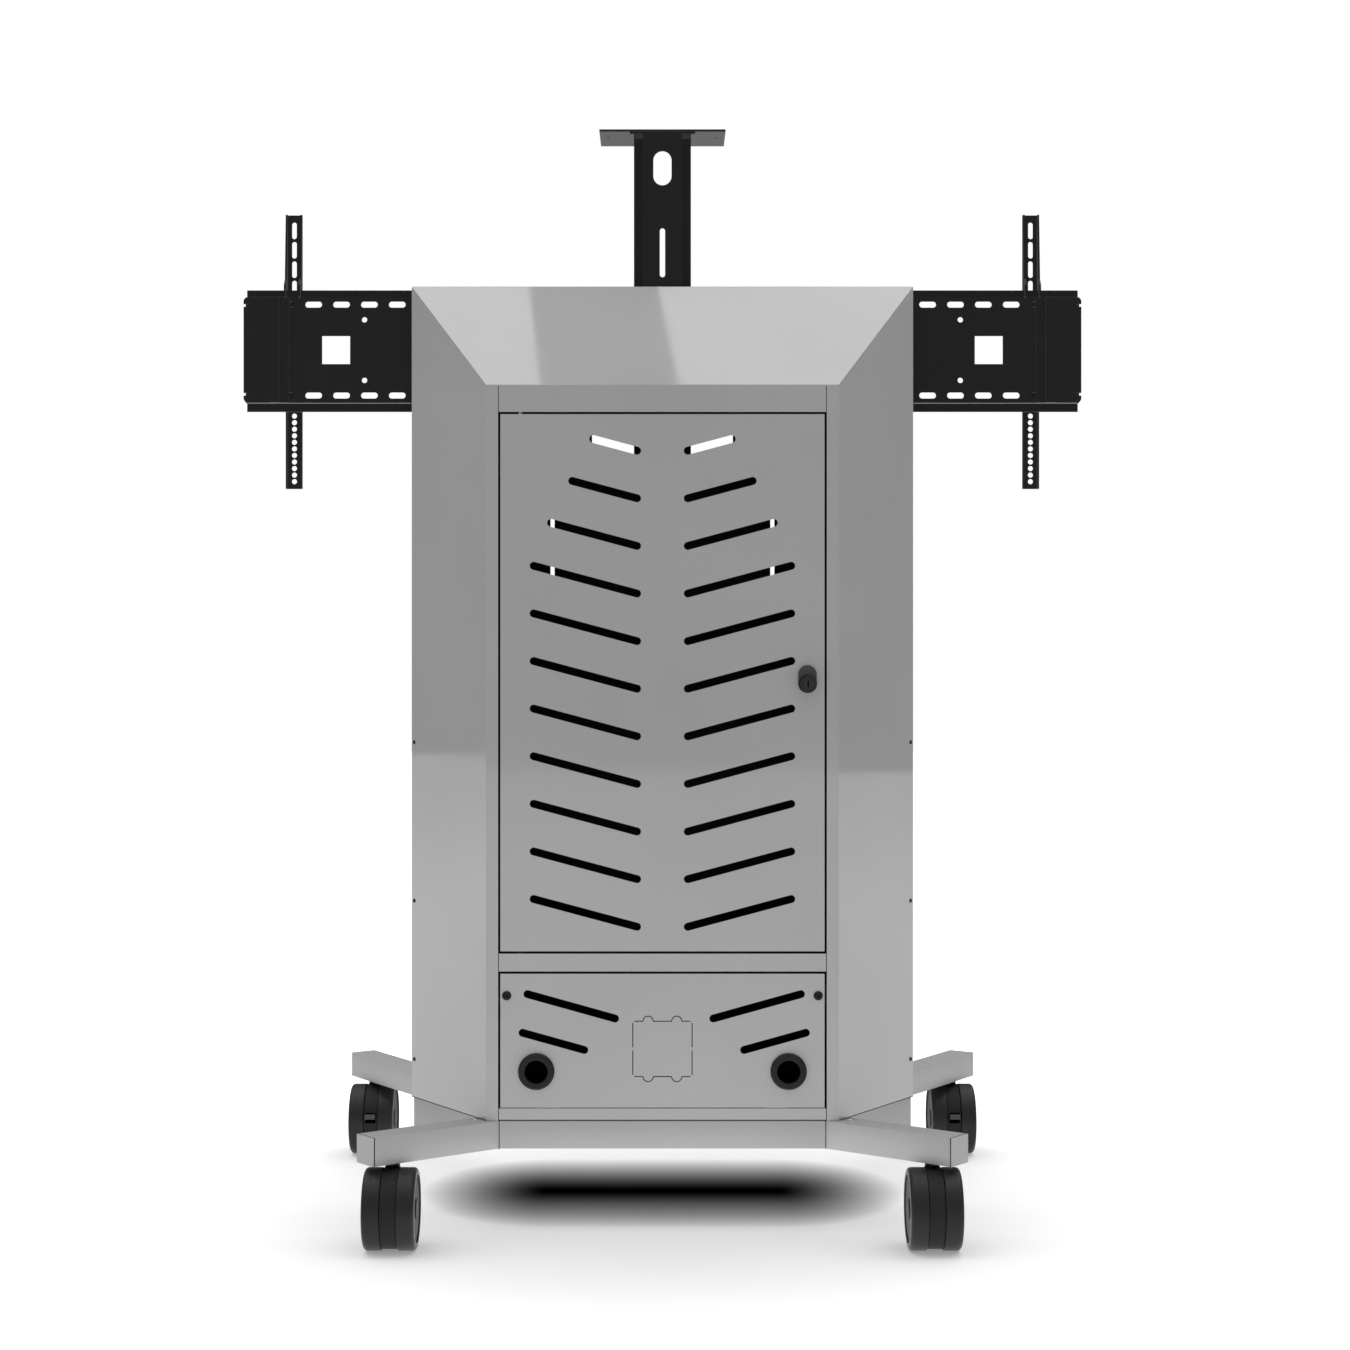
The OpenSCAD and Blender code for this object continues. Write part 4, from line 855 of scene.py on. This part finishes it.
# %% The door's slots
# One point for each slot, two in a row: the row's number and its side give its two ends.
index = add("GeometryNodeInputIndex")
row = calc(calc(index, 2.0, "DIVIDE"), 0.0, "FLOOR")
side = calc(times(calc(index, 2.0, "MODULO"), 2.0), 1.0, "SUBTRACT")
reach = calc(calc(given("First Out"), times(row, given("Out Step"))), given("Slot Out"), "MINIMUM")
run_x = calc(reach, given("Slot In"), "SUBTRACT")
run_z = times(run_x, calc(given("Slot Angle"), 0.0, "TANGENT"))
low_z = calc(calc(height, given("Top Margin"), "SUBTRACT"), times(row, given("Slot Pitch")), "SUBTRACT")
middle = vector(times(times(calc(reach, given("Slot In")), 0.5), side), times(sheet, 0.5),
                calc(low_z, times(run_z, 0.5)))
points = add("GeometryNodePoints", {"Count": times(given("Rows"), 2.0), "Position": middle})
points = add("GeometryNodeStoreNamedAttribute", {
    "Geometry": points, "Name": "run", "Value": vector(times(run_x, side), 0.0, run_z)},
    data_type="FLOAT_VECTOR", domain="POINT")

# A drum of 66 sides has no corner on its middle line, so each corner belongs to one half.
drum_sides = 66
drum = add("GeometryNodeMeshCylinder", {
    "Vertices": drum_sides, "Radius": times(given("Slot Width"), 0.5), "Depth": times(sheet, 3.0)})
across = add("ShaderNodeSeparateXYZ", {0: add("GeometryNodeInputPosition")})
drum = add("GeometryNodeStoreNamedAttribute", {
    "Geometry": drum, "Name": "half", "Value": calc(across, 0.0, "SIGN")},
    data_type="FLOAT", domain="POINT")
drums = add("GeometryNodeInstanceOnPoints", {
    "Points": points, "Instance": drum,
    "Rotation": vector(math.pi / 2, times(times(given("Slot Angle"), side), -1.0), 0.0)})
along = sheet_tree.named("run", "FLOAT_VECTOR")
direction = calc(add("ShaderNodeSeparateXYZ", {0: along}), 0.0, "SIGN")
shift = times(times(sheet_tree.named("half", "FLOAT"), 0.5), direction)
drums = add("GeometryNodeSetPosition", {
    "Geometry": add("GeometryNodeRealizeInstances", {0: drums}),
    "Offset": add("ShaderNodeVectorMath", {0: along, "Scale": shift}, operation="SCALE")})
print("slots:", len(sheet_tree.tree.nodes), "nodes")

# %% The door's holes
lock_hole = add("GeometryNodeTransform", {
    "Geometry": sheet_tree.cylinder(96, given("Lock Radius"), times(sheet, 3.0)),
    "Translation": given("Lock Hole"), "Rotation": (math.pi / 2, 0.0, 0.0)})
pin_bore = sheet_tree.cylinder(32, given("Pin Radius"), times(height, 3.0))
punched = sheet_tree.less(tray, hollow, drums, lock_hole, sheet_tree.moved(pin_bore, given("Hinge")))
sheet_tree.finish(sheet_tree.moved(punched, (0.0, door_face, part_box("door")[0].z)))
print("door tree:", len(sheet_tree.tree.nodes), "nodes")

# %% The door
door_low, door_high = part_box("door")
lock_low, lock_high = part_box("lock_cylinder")
lock_middle = (lock_low + lock_high) / 2
pin_low, pin_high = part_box("hinge_pins")
pin_middle = (pin_low + pin_high) / 2
slot_rows, bore_middle = 11, 0.3
door = sheet_tree.run("door_tray", plain_object("door_start", [(0, 0, 0)]), "silver_sheet", {
    "Half Width": door_high.x, "Height": door_high.z - door_low.z, "Fold": door_high.y - door_low.y,
    "Sheet": 0.0015, "Rows": slot_rows, "Slot Width": 0.01, "Slot Angle": math.radians(15),
    "Slot Pitch": 0.0599, "Slot In": 0.032, "Slot Out": 0.162, "First Out": 0.087, "Out Step": 0.0265,
    "Top Margin": 0.046, "Lock Hole": (lock_middle.x, 0.0, lock_middle.z - door_low.z),
    "Lock Radius": 0.0091, "Pin Radius": 0.003,
    "Hinge": (pin_middle.x, pin_middle.y - door_face, bore_middle)})
bm = merged(door.data)
bpy.data.objects.remove(door)
ease_edges(bm, 0.0004)
# Painted shade on the walls of the door's slots and holes.
darken_cut_outs(bm)
door = hand_over(mesh_object("door_finished", bm), "door", "silver_sheet", "door")
print("door:", len(door.data.polygons), "faces,", 2 * slot_rows, "slots")

# %% [markdown]
# ## Twin wheels
#
# Each wheel is turned, so it is spun from a profile: a grey-black tread with rounded shoulders and a
# fine parting line, and a plastic disc set into its outer side with a raised ring and a centre cap.
# Tread and disc are two mouldings on the real wheel, so they are two pieces here, and a plain hub
# fills the wheel behind them.

# %% Spinning a profile


def spun(profile, place, steps, closed=True):
    """A bmesh of (radius, along) points; place turns a radius, a length and an angle into a point."""
    bm = bmesh.new()
    rings = [[bm.verts.new(place(r, along, 2 * math.pi * i / steps)) for r, along in profile]
             for i in range(steps)]
    for i in range(steps):
        one, two = rings[i], rings[(i + 1) % steps]
        for k in range(len(profile) if closed else len(profile) - 1):
            n = (k + 1) % len(profile)
            bm.faces.new((one[k], one[n], two[n], two[k]))
    bmesh.ops.remove_doubles(bm, verts=bm.verts, dist=same_point)
    bmesh.ops.recalc_face_normals(bm, faces=bm.faces)
    return bm


def arc(r_mid, x_mid, radius, start, end, steps=6):
    """Points of a rounded corner, angles in degrees from the radial direction."""
    angles = [math.radians(start + (end - start) * k / steps) for k in range(steps + 1)]
    return [(r_mid + radius * math.cos(a), x_mid + radius * math.sin(a)) for a in angles]


print("spinning helpers ready")

# %% Wheels
wheel_r, wheel_w = 0.05, 0.022
shoulder, inner_edge, disc_r = 0.005, 0.0012, 0.0405
parting_deep, parting_at = 0.0003, 0.0104
bore_r, back_r, cap_edge = 0.0042, 0.0365, 0.0012
tread_profile = ([(back_r, 0.0006), (wheel_r - inner_edge, 0.0)]
                 + arc(wheel_r - inner_edge, inner_edge, inner_edge, -60, 0, 3)
                 + [(wheel_r, parting_at), (wheel_r - parting_deep, parting_at + 0.0005),
                    (wheel_r - parting_deep, parting_at + 0.0007), (wheel_r, parting_at + 0.0012)]
                 + arc(wheel_r - shoulder, wheel_w - shoulder, shoulder, 0, 90)
                 + [(disc_r + 0.0009, wheel_w), (disc_r + 0.0004, wheel_w - 0.0005),
                    (disc_r + 0.0002, 0.012), (back_r, 0.012)])
disc_profile = ([(0.0, 0.0135), (0.0395, 0.0135), (disc_r, 0.0145), (disc_r, wheel_w - 0.0022),
                 (disc_r - 0.0006, wheel_w - 0.0016), (0.0372, wheel_w - 0.0013),
                 (0.0366, wheel_w - 0.002), (0.0358, wheel_w - 0.002), (0.0352, wheel_w - 0.0014),
                 (0.02, wheel_w - 0.0019), (0.0128, wheel_w - 0.0021), (0.0124, wheel_w - 0.0014)]
                + arc(0.0112, wheel_w - 0.0018, cap_edge, 20, 90, 3)
                + [(0.006, wheel_w - 0.0004), (0.0, wheel_w - 0.0003)])
hub_profile = [(bore_r, 0.0), (0.0355, 0.0), (0.0362, 0.0007), (0.0362, 0.0125), (bore_r, 0.0125)]


def turned(name, profile, inner_face, away):
    """A profile spun round the wheel's axle, from its inner face outwards."""

    def place(r, x, a):
        return inner_face.x + away * x, inner_face.y + r * math.cos(a), inner_face.z + r * math.sin(a)

    bm = spun(profile, place, 96)
    bm.faces.layers.float.new("edge")
    return mesh_object(name, bm, smooth_angle=35)


for corner in corners:
    axle_low, axle_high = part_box(corner + "_axle")
    for node in (corner + "_wheel_outer", corner + "_wheel_inner"):
        low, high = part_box(node)
        away = 1 if low.x + high.x > axle_low.x + axle_high.x else -1
        inner_face = Vector((low.x if away > 0 else high.x, (low.y + high.y) / 2, (low.z + high.z) / 2))
        body = body_of_node[node]
        hand_over(turned(node + "_tread", tread_profile, inner_face, away), body, "wheel", node)
        hand_over(turned(node + "_disc", disc_profile, inner_face, away), body, "caster_plastic")
        hand_over(turned(node + "_hub", hub_profile, inner_face, away), body, "caster_plastic")
print("wheels:", 2 * len(corners))

# %% [markdown]
# ## The lock
#
# The cylinder stands proud of its oval plate. Its face has a turned ring and a narrow key slot. It
# is spun from a profile, and the slot is cut with a small box, so the walls of the slot are real.
# The rim of the head and the walls of the slot get painted shade, near black.

# %% Lock cylinder
axis_x, axis_z = (lock_low.x + lock_high.x) / 2, (lock_low.z + lock_high.z) / 2
length = lock_high.y - lock_low.y
head_r, barrel_r, head_edge, face_in = 0.011, 0.009, 0.0009, 0.0006
plate_gap, dark_beyond = 0.0003, 0.0094
head_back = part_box("lock_escutcheon")[0].y - plate_gap - lock_low.y
lock_profile = ([(0.0, face_in), (0.0045, face_in), (0.0049, 0.0), (0.0068, 0.0), (0.0072, 0.0008),
                 (0.0078, 0.0008), (0.0082, 0.0)]
                + arc(head_r - head_edge, head_edge, head_edge, -90, 0, 3)
                + [(head_r, head_back), (barrel_r, head_back), (barrel_r, length), (0.0, length)])


def on_lock(r, y, a):
    """A point of the lock's profile, turned by the angle a about the lock's axis."""
    return axis_x + r * math.cos(a), lock_low.y + y, axis_z + r * math.sin(a)


bm = spun(lock_profile, on_lock, 64, closed=False)
bm.faces.layers.float.new("inside")
# Painted shade round the rim of the head.
mark_inside(bm, 1.0, lambda c, n: math.hypot(c.x - axis_x, c.z - axis_z) > dark_beyond)
lock_body = mesh_object("lock_turned", bm, smooth_angle=35)
key_w, key_deep, key_h = 0.0018, 0.012, 0.0084
key = bmesh.new()
bmesh.ops.create_cube(key, size=1.0, matrix=Matrix.Translation((axis_x, lock_low.y, axis_z))
                      @ Matrix.Diagonal((key_w, key_deep, key_h, 1)))
# The cut paints shade on the walls of the key slot.
lock_body = cut_away(lock_body, key, "lock_cylinder_finished")
hand_over(lock_body, "door_lock", "lock_plastic", "lock_cylinder")
print("lock cylinder:", len(lock_body.data.polygons), "faces")

# %% [markdown]
# ## Small screws on the sides and the legs
#
# Each flared side is held to the front panel by three small screws near its far edge, and each near
# leg has one screw in its top face. They are the same bolts from the same tree, only smaller, turned
# to face out of the sloping side.

# %% Side and leg screws
outward = Vector((1, -flare_slope, 0)).normalized()
side_depth, side_heights = 0.1665, (0.611, 0.401, 0.191)
side_x, side_y = rear_half + flare_slope * side_depth, door_face + side_depth
for side, sign in (("left", -1), ("right", 1)):
    places = [((sign * side_x, side_y, z), (sign * outward.x, outward.y, 0)) for z in side_heights]
    small = bolt_set("side_screws_" + side, places, "black_steel", 11, Head_Radius=0.0026,
                     Head_Height=0.0014, Socket_Radius=0.0014, Shank_Radius=0.0015, Shank_Length=0.004)
    hand_over(small, "cart", "black_steel")
leg_screw_x, leg_screw_depth = 0.236, 0.008
leg_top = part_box("rear_crossbar")[1].z
places = pairs(leg_screw_x, door_face + leg_screw_depth, [leg_top], (0, 0, 1))
leg_screws = bolt_set("leg_screws", places, "bright_steel", 12, Head_Radius=0.0028, Head_Height=0.001,
                      Socket_Radius=0.0012, Shank_Radius=0.0015, Shank_Length=0.004)
hand_over(leg_screws, "cart", "bright_steel")
print("side screws:", 2 * len(side_heights), "leg screws: 2")

# %% [markdown]
# ## Weld beads under the base
#
# The base is welded from square tube, and from below each joint shows a row of overlapping beads.
# A row of drops along a line is what a node tree does well: it resamples the line to the bead's
# pitch, sets a flattened sphere on each point, and a fixed seed varies their size as a hand does.

# %% The weld tree
flatness = 0.6
weld = Tree("welds", Float=["Bead Radius", "Bead Pitch"], Int=["Seed"])
line = weld.add("GeometryNodeMeshToCurve", {"Mesh": weld.given("Geometry")})
pitch = weld.given("Bead Pitch")
drops = weld.add("GeometryNodeCurveToPoints", {"Curve": line, "Length": pitch}, mode="LENGTH")
bead = weld.add("GeometryNodeMeshIcoSphere", {"Radius": weld.given("Bead Radius"), "Subdivisions": 2})
share = weld.varied(0.82, 1.15)
weld.finish(weld.add("GeometryNodeInstanceOnPoints", {
    "Points": drops, "Instance": bead, "Scale": weld.vector(share, share, weld.times(share, flatness))}))
print("weld tree:", len(weld.tree.nodes), "nodes")

# %% Weld the base
bead_r, rail_w, bar_in, rail_in, front_in = 0.0022, 0.035, 0.003, 0.002, 0.002
base_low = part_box("rear_crossbar")[0].z
lines = []
for bar, end_in in (("rear_crossbar", 0.0), ("front_crossbar", front_in)):
    low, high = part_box(bar)
    for x in (low.x + end_in, high.x - end_in):
        lines.append(((x, low.y + bar_in, base_low), (x, high.y - bar_in, base_low)))
low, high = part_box("base_rails")
for x in (low.x, high.x - rail_w):
    for y in (low.y, high.y):
        lines.append(((x + rail_in, y, base_low), (x + rail_w - rail_in, y, base_low)))
weld_lines = plain_object("weld_lines", [p for line in lines for p in line],
                          [(2 * i, 2 * i + 1) for i in range(len(lines))])
beads = weld.run("weld_beads", weld_lines, "silver_satin", {
    "Bead Radius": bead_r, "Bead Pitch": bead_r, "Seed": 21})
for polygon in beads.data.polygons:
    polygon.use_smooth = True
hand_over(beads, "cart", "silver_sheet")
print("weld lines:", len(lines))

# %% Finish on the parts that stay as they are
shown = [node for node, obj in nodes.items() if not obj.hide_render]
for node in shown:
    nodes[node].data.materials.clear()
    nodes[node].data.materials.append(finishes[slot_of_node[node]])
print("plain parts:", ", ".join(shown))
